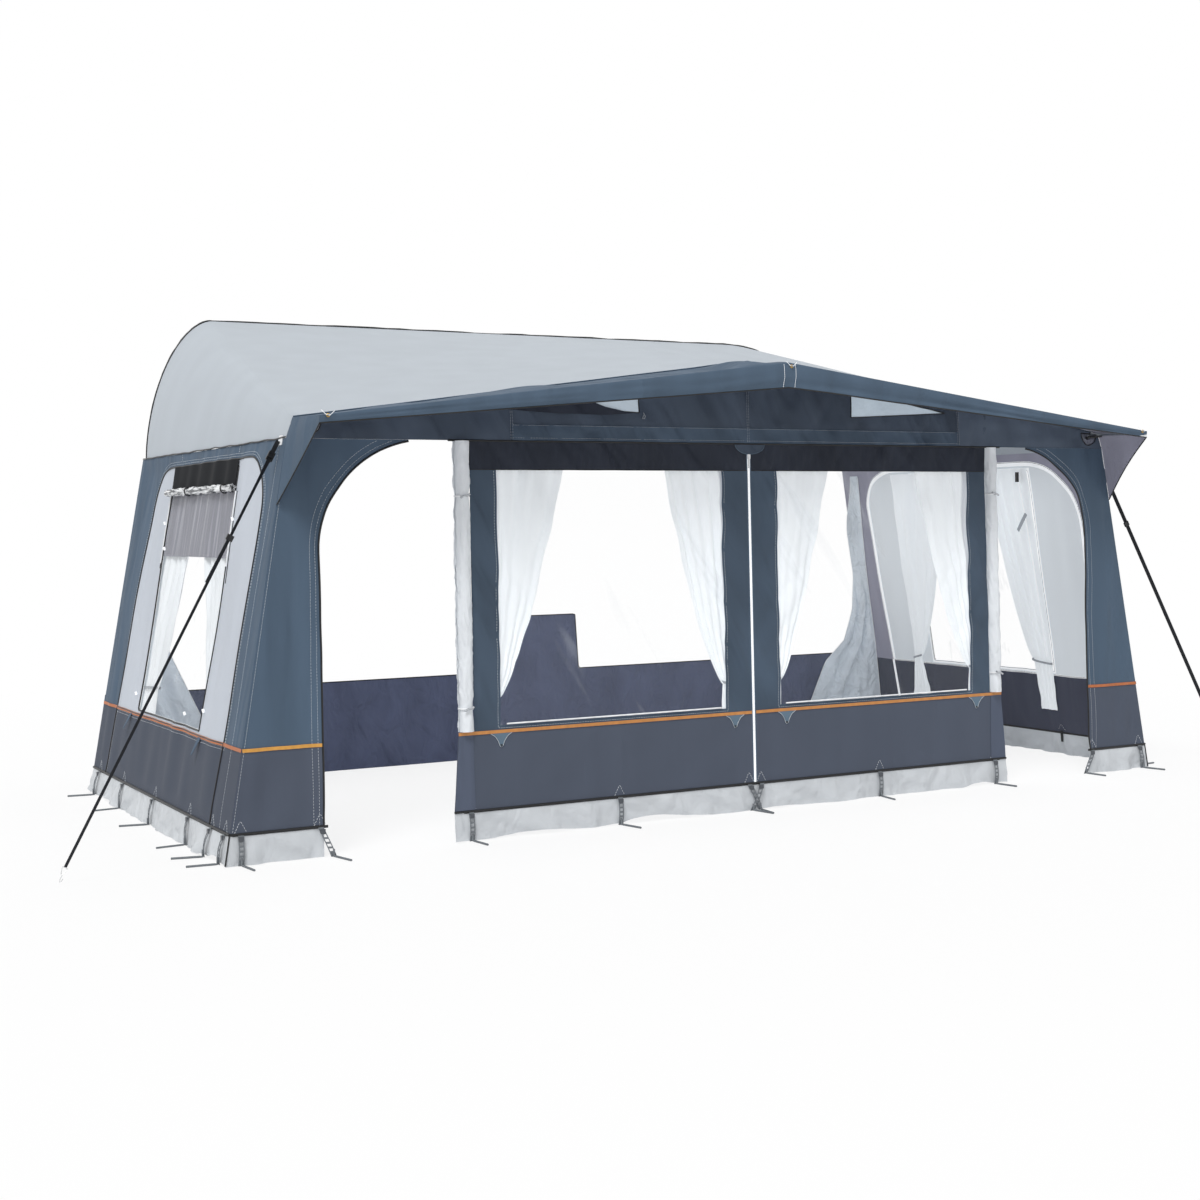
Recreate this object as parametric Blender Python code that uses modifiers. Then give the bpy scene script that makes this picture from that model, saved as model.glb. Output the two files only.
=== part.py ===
"""Full caravan awning: sewn fabric panels on a telescopic steel frame.

Metres, +Z up. X runs along the front wall, the front faces -Y and the edge
that slides into the caravan's rail is at +Y. The origin is on the ground, in
the middle of the awning's box.
"""

import math

import bmesh
import bpy
from mathutils import Matrix, Vector

# Overall sizes
FRONT_WIDTH = 5.28
RAIL_DEPTH = 2.50
CANOPY_REACH = 0.33
EAVE_HEIGHT = 1.785
SHOULDER_RISE = 0.090
RIDGE_RISE = 0.312
RAIL_HEIGHT = 2.566
SHOULDER_HEIGHT = EAVE_HEIGHT + SHOULDER_RISE
RIDGE_HEIGHT = SHOULDER_HEIGHT + RIDGE_RISE
FRONT_LEAN_SHARE = 0.0147
SIDE_RAKE_SHARE = 0.165
EAVE_HALF_WIDTH = FRONT_WIDTH / 2 - SIDE_RAKE_SHARE * EAVE_HEIGHT
FRONT_Y = (CANOPY_REACH - RAIL_DEPTH) / 2
BACK_Y = FRONT_Y + RAIL_DEPTH

# Cloth, film and fits
CLOTH = 0.003
FILM = 0.001
GAP = 0.0003

# Roof edge over the front wall, and the rail curve on the caravan
SHOULDER_DRAW = 0.0305
RAIL_FOOT_DRAW = 0.0415
RAIL_ROUND_LEFT = 0.374
RAIL_ROUND_RIGHT = 0.839
SHOULDER_X = EAVE_HALF_WIDTH - SHOULDER_DRAW
RAIL_FOOT_X = EAVE_HALF_WIDTH - RAIL_FOOT_DRAW
RAIL_FLAT_LEFT = RAIL_FOOT_X - RAIL_ROUND_LEFT
RAIL_FLAT_RIGHT = RAIL_FOOT_X - RAIL_ROUND_RIGHT
RAIL_ROUND_LEFT_SHARE = 1.8
RAIL_ROUND_RIGHT_SHARE = 2.1
SHOULDER_STEPS = 9
SLOPE_STEPS = 6
DEPTH_SHARES = (0, 0.33, 0.66, 0.93, 1)
BEAD_RADIUS = 0.004

# Canopy and its fascia
CANOPY_OVERHANG = 0.007
FASCIA_DROP_END = 0.013
FASCIA_DROP_MIDDLE = 0.035
FASCIA_WIDTH_END = 0.032
FASCIA_WIDTH_MIDDLE = 0.117
WING_DEPTH = 0.282
CANOPY_END_X = SHOULDER_X + CANOPY_OVERHANG
FASCIA_TOP_END = SHOULDER_HEIGHT - FASCIA_DROP_END
FASCIA_TOP_MIDDLE = RIDGE_HEIGHT - FASCIA_DROP_MIDDLE
FASCIA_FOOT_END = FASCIA_TOP_END - FASCIA_WIDTH_END
FASCIA_FOOT_MIDDLE = FASCIA_TOP_MIDDLE - FASCIA_WIDTH_MIDDLE
WING_FOOT_HEIGHT = EAVE_HEIGHT - WING_DEPTH

# Bands up the walls
HEM_HEIGHT = 0.133
SILL_HEIGHT = 0.505
HEADER_DEPTH = 0.130
HEADER_FOOT = EAVE_HEIGHT - HEADER_DEPTH

# Front doorways and their rolled doors
DOORWAY_INSET = 0.1385
DOORWAY_OUTER_X = EAVE_HALF_WIDTH - DOORWAY_INSET
ARCH_WIDTH = 0.507
ARCH_HEIGHT = 0.53
ARCH_TIP_ANGLE = math.radians(80)
ARCH_STEPS = 8
ROLL_RADIUS = 0.0385
ROLL_FOOT = 0.460
ROLL_TIE_SHARES = (0.08, 0.81)
ROLL_STEPS = 30
TIE_NECK_SHARE = 0.30
TIE_REACH = 0.075

# Front panels, from the middle outwards
ZIP_HALF_WIDTH = 0.012
STILE_WIDTH = 0.149
PANE_WIDTH = 1.205
OUTER_STILE_WIDTH = 0.131
PANEL_FOOT_FLARE = 0.1027
PANE_INNER_X = ZIP_HALF_WIDTH + GAP + STILE_WIDTH
PANE_OUTER_X = PANE_INNER_X + PANE_WIDTH
PANEL_OUTER_X = PANE_OUTER_X + OUTER_STILE_WIDTH
PANEL_FOOT_X = PANEL_OUTER_X + PANEL_FOOT_FLARE
SLIDER_WIDTH = 0.014
SLIDER_HEIGHT = 0.022
SLIDER_THICKNESS = 0.006
PULLER_WIDTH = 0.008
PULLER_LENGTH = 0.045
PULLER_HOLE = 0.004
SLIDER_DROP = 0.050
SLIDER_TOP = EAVE_HEIGHT - SLIDER_DROP

# Gable vents
VENT_INNER_X = 0.62
VENT_OUTER_X = 1.24
VENT_FOOT_SHARE = 0.348
VENT_TIP_SHARE = 0.430
VENT_TOP_SHARE = 0.6965
VENT_FOOT = EAVE_HEIGHT + VENT_FOOT_SHARE * (RIDGE_HEIGHT - EAVE_HEIGHT)
VENT_TIP_HEIGHT = EAVE_HEIGHT + VENT_TIP_SHARE * (RIDGE_HEIGHT - EAVE_HEIGHT)
VENT_TOP = EAVE_HEIGHT + VENT_TOP_SHARE * (RIDGE_HEIGHT - EAVE_HEIGHT)

# Side walls, measured back from the front corner
SIDE_REAR_ROOM = 0.040
SIDE_REAR_RAKE = 0.050
SIDE_REAR_BORDER_FOOT = 0.302
SIDE_REAR_BORDER_TOP = 0.360
SIDE_FOOT_DEPTH = RAIL_DEPTH - SIDE_REAR_ROOM
SIDE_EAVE_DEPTH = SIDE_FOOT_DEPTH - SIDE_REAR_RAKE
INSET_FRONT_FOOT = 0.273
INSET_FRONT_TOP = 0.215
INSET_BACK_FOOT = SIDE_FOOT_DEPTH - SIDE_REAR_BORDER_FOOT
INSET_BACK_TOP = SIDE_EAVE_DEPTH - SIDE_REAR_BORDER_TOP
INSET_FOOT = 0.480
INSET_DROP = 0.063
INSET_TOP = EAVE_HEIGHT - INSET_DROP
INSET_CORNER = 0.23
INSET_CORNER_STEPS = 6
SIDE_PANE_BORDER_FRONT = 0.357
SIDE_PANE_BORDER_BACK = 0.438
SIDE_PANE_FRONT = INSET_FRONT_FOOT + SIDE_PANE_BORDER_FRONT
SIDE_PANE_BACK = INSET_BACK_FOOT - SIDE_PANE_BORDER_BACK
SIDE_PANE_RISE = 0.020
SIDE_PANE_DROP = 0.032
SIDE_PANE_FOOT = INSET_FOOT + SIDE_PANE_RISE
SIDE_PANE_TOP = INSET_TOP - SIDE_PANE_DROP
BLIND_RADIUS = 0.026
BLIND_DROP = 0.100
BLIND_HEIGHT = SIDE_PANE_TOP - BLIND_DROP
BLIND_OVERLAP = 0.03
BLIND_TIE_SHARES = (0.12, 0.66)
BLIND_STEPS = 24

# Draught skirt under the caravan, with its wheel-arch cover
SKIRT_TOP = 0.514
ARCH_COVER_LEFT = -0.42
ARCH_COVER_RIGHT = 0.345
ARCH_COVER_TOP = 0.85
ARCH_COVER_SLANT = 0.02

# Curtains
CURTAIN_DROP = 0.085
CURTAIN_TOP = EAVE_HEIGHT - CURTAIN_DROP
CURTAIN_THICKNESS = 0.003
CURTAIN_FOLDS = 5
CURTAIN_POINTS_PER_FOLD = 4
CURTAIN_ROWS = 7
CURTAIN_TAIL_ROWS = 2
CURTAIN_SWEEP_SHARE = 0.6
FOLD_DEPTH = 0.024
TIED_FOLD_DEPTH = 0.014
TIE_WIDTH = 0.055
TAIL_WIDTH = 0.085
FRONT_TIE_HEIGHT = 0.625
FRONT_TAIL_FOOT = 0.484
SIDE_TIE_HEIGHT = 0.56
SIDE_TAIL_FOOT = 0.26
FRONT_CURTAIN_LAP = 0.025
OUTER_CURTAIN_WIDTH = 0.345
INNER_CURTAIN_WIDTH = 0.350
SIDE_FRONT_CURTAIN_WIDTH = 0.28
SIDE_BACK_CURTAIN_WIDTH = 0.42
SIDE_CURTAIN_LAP = 0.05

# Pegging ladders on their hem tapes
TAPE_HEIGHT = 0.012
TAPE_RISE = 0.004
TAPE_TOP = HEM_HEIGHT + TAPE_RISE
LADDER_THICKNESS = 0.0024
LADDER_WIDTH = 0.026
LADDER_RAIL = 0.007
LADDER_RUNG = 0.010
LADDER_LYING = 0.136
TAPE_END = 0.035
LADDER_EDGE = 0.018
LADDER_CORNER = 0.068
CENTRE_LADDER_HALF_PITCH = 0.035
PANEL_LADDER_EDGE = 0.080
COLUMN_LADDERS = (DOORWAY_OUTER_X + LADDER_EDGE, FRONT_WIDTH / 2 - LADDER_CORNER)
CENTRE_LADDERS = (CENTRE_LADDER_HALF_PITCH, (PANEL_FOOT_X - PANEL_LADDER_EDGE) / 2,
                  PANEL_FOOT_X - PANEL_LADDER_EDGE)
SIDE_LADDER_SHARES = (0.0272, 0.1028, 0.2476, 0.4894, 0.7329, 0.9382)
LADDER_SKEW_SHARES = (0.10, 0.22, -0.10, 0.20, -0.12, 0.15)

# Steel frame
UPRIGHT_RADIUS = 0.014
TUBE_WALL = 0.0015
SLIDE_CLEARANCE = 0.0004
BEAM_RADIUS = 0.0125
BEAM_RISE = 0.045
BEAM_DRAW = 0.0325
BEAM_HEIGHT = EAVE_HEIGHT + BEAM_RISE
BEAM_HALF_LENGTH = EAVE_HALF_WIDTH - SIDE_RAKE_SHARE * BEAM_RISE - BEAM_DRAW
CORNER_INSET = 0.05
CLAMP_HEIGHT = 0.86
COLLAR_RADIUS = 0.020
COLLAR_LENGTH = 0.045
TUBE_OVERLAP = 0.26
FOOT_RADIUS = 0.028
FOOT_THICKNESS = 0.008
ROOF_POLE_RADIUS = 0.0125
ROOF_POLE_DROP = 0.003
ROOF_POLE_DRAW = 0.025
ROOF_POLE_FRONT_X = SHOULDER_X - ROOF_POLE_DRAW
CANOPY_TUBE_RADIUS = 0.0095
CANOPY_TUBE_DROP = 0.0165
CANOPY_TUBE_DRAW = 0.045
CANOPY_TUBE_END_X = SHOULDER_X - CANOPY_TUBE_DRAW
CANOPY_TUBE_SETBACK = 0.016
LEG_SETBACK = CLOTH / 2 + 2 * GAP + 2 * BEAM_RADIUS + UPRIGHT_RADIUS
LEVER_LENGTH = 0.070
LEVER_WIDTH = 0.016
LEVER_THICKNESS = 0.006

# Storm straps
STRAP_WIDTH = 0.020
STRAP_THICKNESS = 0.0016
STRAP_DROP = 0.010
STRAP_TOP_HEIGHT = EAVE_HEIGHT - STRAP_DROP
STRAP_TOP_RUN = 0.09
STRAP_SPREAD = 0.668
STRAP_FOOT_X = FRONT_WIDTH / 2 + STRAP_SPREAD
STRAP_FOOT_RUN = 0.031
STRAP_FOOT_HEIGHT = 0.012
HOOK_LENGTH = 0.062
HOOK_WIRE = 0.0015
HOOK_SHARES = (0.5, 0, 0, 0.5, 0.82, 1, 0.9, 0.72)
BUCKLE_WIDTH = 0.030
BUCKLE_THICKNESS = 0.010
BUCKLE_LENGTH = 0.026
BUCKLE_PLACE_SHARE = 0.24

# Colours, as linear RGB
SLATE = (0.065, 0.098, 0.143)
DARK_SLATE = (0.092, 0.107, 0.144)
LIGHT_GREY = (0.55, 0.59, 0.63)
MUD_GREY = (0.60, 0.62, 0.64)
WHITE_CLOTH = (0.84, 0.86, 0.87)
CLEAR_FILM = (0.80, 0.84, 0.88)
MESH_GREY = (0.27, 0.28, 0.33)
BLACK = (0.012, 0.012, 0.014)
STEEL = (0.60, 0.61, 0.62)
PLASTIC_GREY = (0.16, 0.17, 0.18)


def corner_x(height):
    """Half the awning's width at the corner seam, at one height."""
    return FRONT_WIDTH / 2 - SIDE_RAKE_SHARE * height


def front_y(height):
    """Place of the leaning front wall, at one height."""
    return FRONT_Y + FRONT_LEAN_SHARE * height


def up_side(height):
    """Distance up a raked side wall that reaches one height."""
    return height * math.sqrt(1 + SIDE_RAKE_SHARE ** 2)


def wall_frame(origin, along, up):
    """Matrix of a wall: X along it, Y up it and Z out of it."""
    along = Vector(along).normalized()
    up = Vector(up).normalized()
    out = along.cross(up)
    frame = Matrix((along, up, out)).transposed().to_4x4()
    frame.translation = Vector(origin)
    return frame


FRONT_WALL = wall_frame((0, FRONT_Y, 0), (1, 0, 0), (0, FRONT_LEAN_SHARE, 1))
SKIRT_WALL = wall_frame((0, FRONT_Y + SIDE_FOOT_DEPTH + GAP + CLOTH / 2, 0), (1, 0, 0), (0, 0, 1))
SIDE_WALLS = {
    "left": wall_frame((-FRONT_WIDTH / 2, FRONT_Y, 0), (0, -1, 0), (SIDE_RAKE_SHARE, 0, 1)),
    "right": wall_frame((FRONT_WIDTH / 2, FRONT_Y, 0), (0, 1, 0), (-SIDE_RAKE_SHARE, 0, 1)),
}
SIDE_SIGN = {"left": -1, "right": 1}


def clear_scene():
    """Remove every object of the open file."""
    for old in list(bpy.data.objects):
        bpy.data.objects.remove(old, do_unlink=True)


def make_finish(name, colour, roughness, metallic=0.0):
    """One Principled material."""
    material = bpy.data.materials.new(name)
    material.use_nodes = True
    shader = material.node_tree.nodes["Principled BSDF"]
    shader.inputs["Base Color"].default_value = (*colour, 1.0)
    shader.inputs["Roughness"].default_value = roughness
    shader.inputs["Metallic"].default_value = metallic
    return material


def place(name, data, finish, frame=None):
    """Link one named sub-part with its own material."""
    data.materials.append(make_finish(name, *finish))
    part = bpy.data.objects.new(name, data)
    if frame is not None:
        part.matrix_world = frame
    PARTS.objects.link(part)
    return part


def panel(name, frame, outlines, finish, thickness=CLOTH):
    """Flat panel from an outline and the outlines of its holes."""
    curve = bpy.data.curves.new(name, "CURVE")
    curve.dimensions = "2D"
    curve.fill_mode = "BOTH"
    curve.extrude = thickness / 2
    for outline in outlines:
        spline = curve.splines.new("POLY")
        spline.points.add(len(outline) - 1)
        for point, (across, up) in zip(spline.points, outline):
            point.co = (across, up, 0, 1)
        spline.use_cyclic_u = True
    return place(name, curve, finish, frame)


def tube(name, points, radius, finish, resolution=2):
    """Round tube along a list of points, with closed ends."""
    curve = bpy.data.curves.new(name, "CURVE")
    curve.dimensions = "3D"
    curve.bevel_depth = radius
    curve.bevel_resolution = resolution
    curve.use_fill_caps = True
    spline = curve.splines.new("POLY")
    spline.points.add(len(points) - 1)
    for point, where in zip(spline.points, points):
        point.co = (*where, 1)
    return place(name, curve, finish)


def rolled_cloth(name, ends, radius, tie_shares, steps, finish):
    """Cloth rolled into a tube, drawn in where it is tied."""
    start, end = (Vector(point) for point in ends)
    length = (end - start).length
    roll = tube(name, [start.lerp(end, i / steps) for i in range(steps + 1)], radius, finish)
    for i, point in enumerate(roll.data.splines[0].points):
        nearest = min(abs(i / steps - share) for share in tie_shares) * length
        point.radius = 1 - TIE_NECK_SHARE * math.exp(-(nearest / TIE_REACH) ** 2)
    return roll


def turned(name, frame, profile, finish, steps=16):
    """Turned piece from a closed profile of (radius, height) points."""
    mesh = bpy.data.meshes.new(name)
    count = len(profile)
    edges = [(i, (i + 1) % count) for i in range(count)]
    mesh.from_pydata([(radius, 0, height) for radius, height in profile], edges, [])
    part = place(name, mesh, finish, frame)
    screw = part.modifiers.new("turn", "SCREW")
    screw.axis = "Z"
    screw.steps = steps
    screw.render_steps = steps
    screw.use_merge_vertices = True
    screw.merge_threshold = 0.00001
    return part


def thicken(part, thickness, offset):
    """Give an open surface its cloth thickness, in flat triangles."""
    solid = part.modifiers.new("thickness", "SOLIDIFY")
    solid.thickness = thickness
    solid.offset = offset
    solid.use_even_offset = True
    part.modifiers.new("flat faces", "TRIANGULATE")
    return part


def loft(mesh_builder, rows):
    """Quads between rows of equally many points."""
    verts = [[mesh_builder.verts.new(point) for point in row] for row in rows]
    for lower, upper in zip(verts, verts[1:]):
        for i in range(len(lower) - 1):
            mesh_builder.faces.new((lower[i], lower[i + 1], upper[i + 1], upper[i]))
    return verts


def surface_part(name, mesh_builder, finish):
    """Object of an open surface whose faces look up or outwards."""
    mesh = bpy.data.meshes.new(name)
    mesh_builder.to_mesh(mesh)
    mesh_builder.free()
    return place(name, mesh, finish)


def mirrored(outline, sign):
    """Outline on the left or right half of a wall."""
    return [(sign * across, up) for across, up in outline]


def arc(centre, radii, start, end, steps):
    """Points on a stretch of an ellipse."""
    points = []
    for i in range(steps + 1):
        angle = start + (end - start) * i / steps
        points.append((centre[0] + radii[0] * math.cos(angle), centre[1] + radii[1] * math.sin(angle)))
    return points


def roof_height(across):
    """Height of the roof's edge over the front wall."""
    share = 1 - abs(across) / SHOULDER_X
    return SHOULDER_HEIGHT + (RIDGE_HEIGHT - SHOULDER_HEIGHT) * share


def front_roof_half():
    """Roof edge over the front wall, from the eave to the ridge."""
    eave_x = corner_x(EAVE_HEIGHT)
    points = []
    for i in range(SHOULDER_STEPS):
        share = i / SHOULDER_STEPS
        points.append((eave_x + (SHOULDER_X - eave_x) * share,
                       EAVE_HEIGHT + GAP + (SHOULDER_HEIGHT - EAVE_HEIGHT - GAP) * share))
    for i in range(SLOPE_STEPS + 1):
        across = SHOULDER_X * (1 - i / SLOPE_STEPS)
        points.append((across, roof_height(across)))
    return points


def rail_half(flat, round_share):
    """Rail curve up the caravan's side, from its foot to the middle."""
    foot = EAVE_HEIGHT + GAP
    rise = RAIL_HEIGHT - foot
    points = []
    for i in range(SHOULDER_STEPS):
        angle = math.pi / 2 * i / SHOULDER_STEPS
        across = flat + (RAIL_FOOT_X - flat) * math.cos(angle) ** (2 / round_share)
        points.append((across, foot + rise * math.sin(angle) ** (2 / round_share)))
    for i in range(SLOPE_STEPS + 1):
        points.append((flat * (1 - i / SLOPE_STEPS), RAIL_HEIGHT))
    return points


def whole_line(left_half, right_half):
    """Join two halves into one line from left to right."""
    left = [(-across, height) for across, height in left_half]
    return left + right_half[-2::-1]


def rail_line():
    """Whole rail curve, from left to right."""
    return whole_line(rail_half(RAIL_FLAT_LEFT, RAIL_ROUND_LEFT_SHARE),
                      rail_half(RAIL_FLAT_RIGHT, RAIL_ROUND_RIGHT_SHARE))


def make_roof():
    """Light roof sheet, from the front wall up to the caravan's rail.

    Its lower edges follow the side walls and turn in only at the rail.
    """
    front = whole_line(front_roof_half(), front_roof_half())
    back = rail_line()
    back_y = BACK_Y - 2 * BEAD_RADIUS - GAP
    pull = corner_x(EAVE_HEIGHT) - RAIL_FOOT_X
    rows = []
    for share in DEPTH_SHARES:
        row = []
        for index, ((front_x, front_z), (back_x, back_z)) in enumerate(zip(front, back)):
            start_y = front_y(front_z) + CLOTH / 2 + GAP
            across = front_x + (back_x - front_x) * share
            up_edge = min(1, min(index, len(front) - 1 - index) / SHOULDER_STEPS)
            if share < 1:
                across += math.copysign(pull * share * (1 - up_edge) ** 2, front_x)
            row.append((across, start_y + (back_y - start_y) * share,
                        front_z + (back_z - front_z) * share))
        rows.append(row)
    sheet = bmesh.new()
    loft(sheet, rows)
    thicken(surface_part("roof", sheet, (LIGHT_GREY, 0.5)), CLOTH, -1)
    bead = [(across, BACK_Y - BEAD_RADIUS, height) for across, height in back]
    tube("rail_bead", bead, BEAD_RADIUS, (BLACK, 0.5))


def make_canopy():
    """Canopy ahead of the front wall, with its fascia and side wings."""
    slope = (RIDGE_HEIGHT - FASCIA_TOP_MIDDLE) / CANOPY_REACH
    seam = CLOTH / 2 + GAP + CLOTH * slope
    steps = [i / SLOPE_STEPS for i in range(-SLOPE_STEPS, SLOPE_STEPS + 1)]
    front_edge_y = FRONT_Y - CANOPY_REACH
    rear, top, foot = [], [], []
    for step in steps:
        height = roof_height(SHOULDER_X * step)
        rear.append((SHOULDER_X * step, front_y(height) - seam, height))
        across = CANOPY_END_X * step
        rise = 1 - abs(step)
        top.append((across, front_edge_y, FASCIA_TOP_END + (FASCIA_TOP_MIDDLE - FASCIA_TOP_END) * rise))
        foot.append((across, front_edge_y, FASCIA_FOOT_END + (FASCIA_FOOT_MIDDLE - FASCIA_FOOT_END) * rise))
    sheet = bmesh.new()
    verts = loft(sheet, [foot, top, rear])
    for end, sign in ((0, -1), (-1, 1)):
        corner = [sheet.verts.new((sign * corner_x(height), front_y(height) - seam, height))
                  for height in (EAVE_HEIGHT, WING_FOOT_HEIGHT)]
        sheet.faces.new((verts[2][end], corner[0], corner[1], verts[0][end], verts[1][end]))
    bmesh.ops.recalc_face_normals(sheet, faces=sheet.faces)
    thicken(surface_part("canopy", sheet, (SLATE, 0.8)), CLOTH, -1)


def vent_outline(clearance):
    """Triangle of a gable vent, on the right half."""
    return [(VENT_INNER_X + clearance, VENT_FOOT + clearance),
            (VENT_OUTER_X - clearance / (VENT_TOP - VENT_FOOT) * (VENT_OUTER_X - VENT_INNER_X),
             VENT_TIP_HEIGHT),
            (VENT_INNER_X + clearance, VENT_TOP - clearance)]


def make_gable():
    """Gable over the veranda seam, with a mesh vent on each side."""
    foot = EAVE_HEIGHT + GAP
    outline = [(-corner_x(foot), foot), (corner_x(foot), foot), (SHOULDER_X, SHOULDER_HEIGHT),
               (0, RIDGE_HEIGHT), (-SHOULDER_X, SHOULDER_HEIGHT)]
    vents = [mirrored(vent_outline(0), sign) for sign in SIDE_SIGN.values()]
    panel("gable", FRONT_WALL, [outline] + vents, (SLATE, 0.8))
    for side, sign in SIDE_SIGN.items():
        panel("gable_vent_" + side, FRONT_WALL, [mirrored(vent_outline(GAP), sign)], (MESH_GREY, 0.7), FILM)


def make_column(side, sign):
    """Front corner column with the doorway's arch cut from its inner edge."""
    arch_centre = (DOORWAY_OUTER_X - ARCH_WIDTH, EAVE_HEIGHT - ARCH_HEIGHT)
    outline = [(DOORWAY_OUTER_X, HEM_HEIGHT),
               (corner_x(HEM_HEIGHT) + CLOTH / 2, HEM_HEIGHT),
               (corner_x(EAVE_HEIGHT) + CLOTH / 2, EAVE_HEIGHT)]
    tip_x = arch_centre[0] + ARCH_WIDTH * math.cos(ARCH_TIP_ANGLE)
    outline.append((tip_x, EAVE_HEIGHT))
    outline += arc(arch_centre, (ARCH_WIDTH, ARCH_HEIGHT), ARCH_TIP_ANGLE, 0, ARCH_STEPS)
    panel("front_column_" + side, FRONT_WALL, [mirrored(outline, sign)], (SLATE, 0.8))


def make_front_panel(side, sign):
    """Middle panel with its header and window, and the clear pane in it."""
    inner = ZIP_HALF_WIDTH + GAP
    outline = [(inner, HEM_HEIGHT), (PANEL_FOOT_X, HEM_HEIGHT),
               (PANEL_OUTER_X + 2 * ROLL_RADIUS, ROLL_FOOT), (PANEL_OUTER_X, ROLL_FOOT),
               (PANEL_OUTER_X, EAVE_HEIGHT), (inner, EAVE_HEIGHT)]
    window = [(PANE_INNER_X, SILL_HEIGHT), (PANE_OUTER_X, SILL_HEIGHT),
              (PANE_OUTER_X, HEADER_FOOT), (PANE_INNER_X, HEADER_FOOT)]
    pane = [(PANE_INNER_X + GAP, SILL_HEIGHT + GAP), (PANE_OUTER_X - GAP, SILL_HEIGHT + GAP),
            (PANE_OUTER_X - GAP, HEADER_FOOT - GAP), (PANE_INNER_X + GAP, HEADER_FOOT - GAP)]
    panel("front_panel_" + side, FRONT_WALL, [mirrored(outline, sign), mirrored(window, sign)], (SLATE, 0.8))
    panel("front_window_" + side, FRONT_WALL, [mirrored(pane, sign)], (CLEAR_FILM, 0.1), FILM)


def make_door_roll(side, sign):
    """Door fabric rolled up and tied against the middle panel's edge."""
    across = sign * (PANEL_OUTER_X + GAP + ROLL_RADIUS)
    tilt = ROLL_RADIUS * FRONT_LEAN_SHARE
    ends = [(across, front_y(height), height) for height in (ROLL_FOOT + GAP + tilt, EAVE_HEIGHT - tilt)]
    rolled_cloth("door_roll_" + side, ends, ROLL_RADIUS, ROLL_TIE_SHARES, ROLL_STEPS, (LIGHT_GREY, 0.6))


def make_zip():
    """Middle zip and its slider."""
    tape = [(-ZIP_HALF_WIDTH, HEM_HEIGHT), (ZIP_HALF_WIDTH, HEM_HEIGHT),
            (ZIP_HALF_WIDTH, EAVE_HEIGHT), (-ZIP_HALF_WIDTH, EAVE_HEIGHT)]
    panel("front_zip", FRONT_WALL, [tape], (WHITE_CLOTH, 0.5))
    neck = SLIDER_TOP - SLIDER_HEIGHT
    end = neck - PULLER_LENGTH
    half, thin = SLIDER_WIDTH / 2, PULLER_WIDTH / 2
    outline = [(-half, SLIDER_TOP), (-half, neck), (-thin, neck), (-thin, end),
               (thin, end), (thin, neck), (half, neck), (half, SLIDER_TOP)]
    hole_foot = end + PULLER_HOLE
    hole = [(-PULLER_HOLE / 2, hole_foot), (PULLER_HOLE / 2, hole_foot),
            (PULLER_HOLE / 2, hole_foot + PULLER_WIDTH), (-PULLER_HOLE / 2, hole_foot + PULLER_WIDTH)]
    ahead = Matrix.Translation((0, 0, CLOTH / 2 + GAP + SLIDER_THICKNESS / 2))
    panel("zip_slider", FRONT_WALL @ ahead, [outline, hole], (WHITE_CLOTH, 0.4), SLIDER_THICKNESS)


def make_corner_mud_wall(side, sign):
    """Mud wall along a side wall and round the corner to the doorway."""
    rows = []
    for height in (GAP, HEM_HEIGHT - GAP):
        corner = corner_x(height)
        rows.append([(sign * DOORWAY_OUTER_X, front_y(height), height),
                     (sign * corner, front_y(height), height),
                     (sign * corner, FRONT_Y + SIDE_FOOT_DEPTH, height)])
    sheet = bmesh.new()
    loft(sheet, rows)
    thicken(surface_part("mud_wall_" + side, sheet, (MUD_GREY, 0.6)), CLOTH, 0)


def make_centre_mud_wall():
    """Mud wall under the middle panels."""
    outline = [(-PANEL_FOOT_X, GAP), (PANEL_FOOT_X, GAP),
               (PANEL_FOOT_X, HEM_HEIGHT - GAP), (-PANEL_FOOT_X, HEM_HEIGHT - GAP)]
    panel("mud_wall_centre", FRONT_WALL, [outline], (MUD_GREY, 0.6))


def inset_outline(clearance):
    """Light inset of a side wall, as distances back from the corner."""
    foot = up_side(INSET_FOOT + clearance)
    top = up_side(INSET_TOP - clearance)
    front_x = INSET_FRONT_TOP + clearance
    back_x = INSET_BACK_TOP - clearance
    radius = INSET_CORNER - clearance
    outline = [(INSET_FRONT_FOOT + clearance, foot), (INSET_BACK_FOOT - clearance, foot)]
    outline += arc((back_x - radius, top - radius), (radius, radius), 0, math.pi / 2, INSET_CORNER_STEPS)
    outline += arc((front_x + radius, top - radius), (radius, radius), math.pi / 2, math.pi,
                   INSET_CORNER_STEPS)
    return outline


def side_pane(clearance):
    """Rectangle of a side window."""
    foot, top = up_side(SIDE_PANE_FOOT + clearance), up_side(SIDE_PANE_TOP - clearance)
    return [(SIDE_PANE_FRONT + clearance, foot), (SIDE_PANE_BACK - clearance, foot),
            (SIDE_PANE_BACK - clearance, top), (SIDE_PANE_FRONT + clearance, top)]


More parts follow.
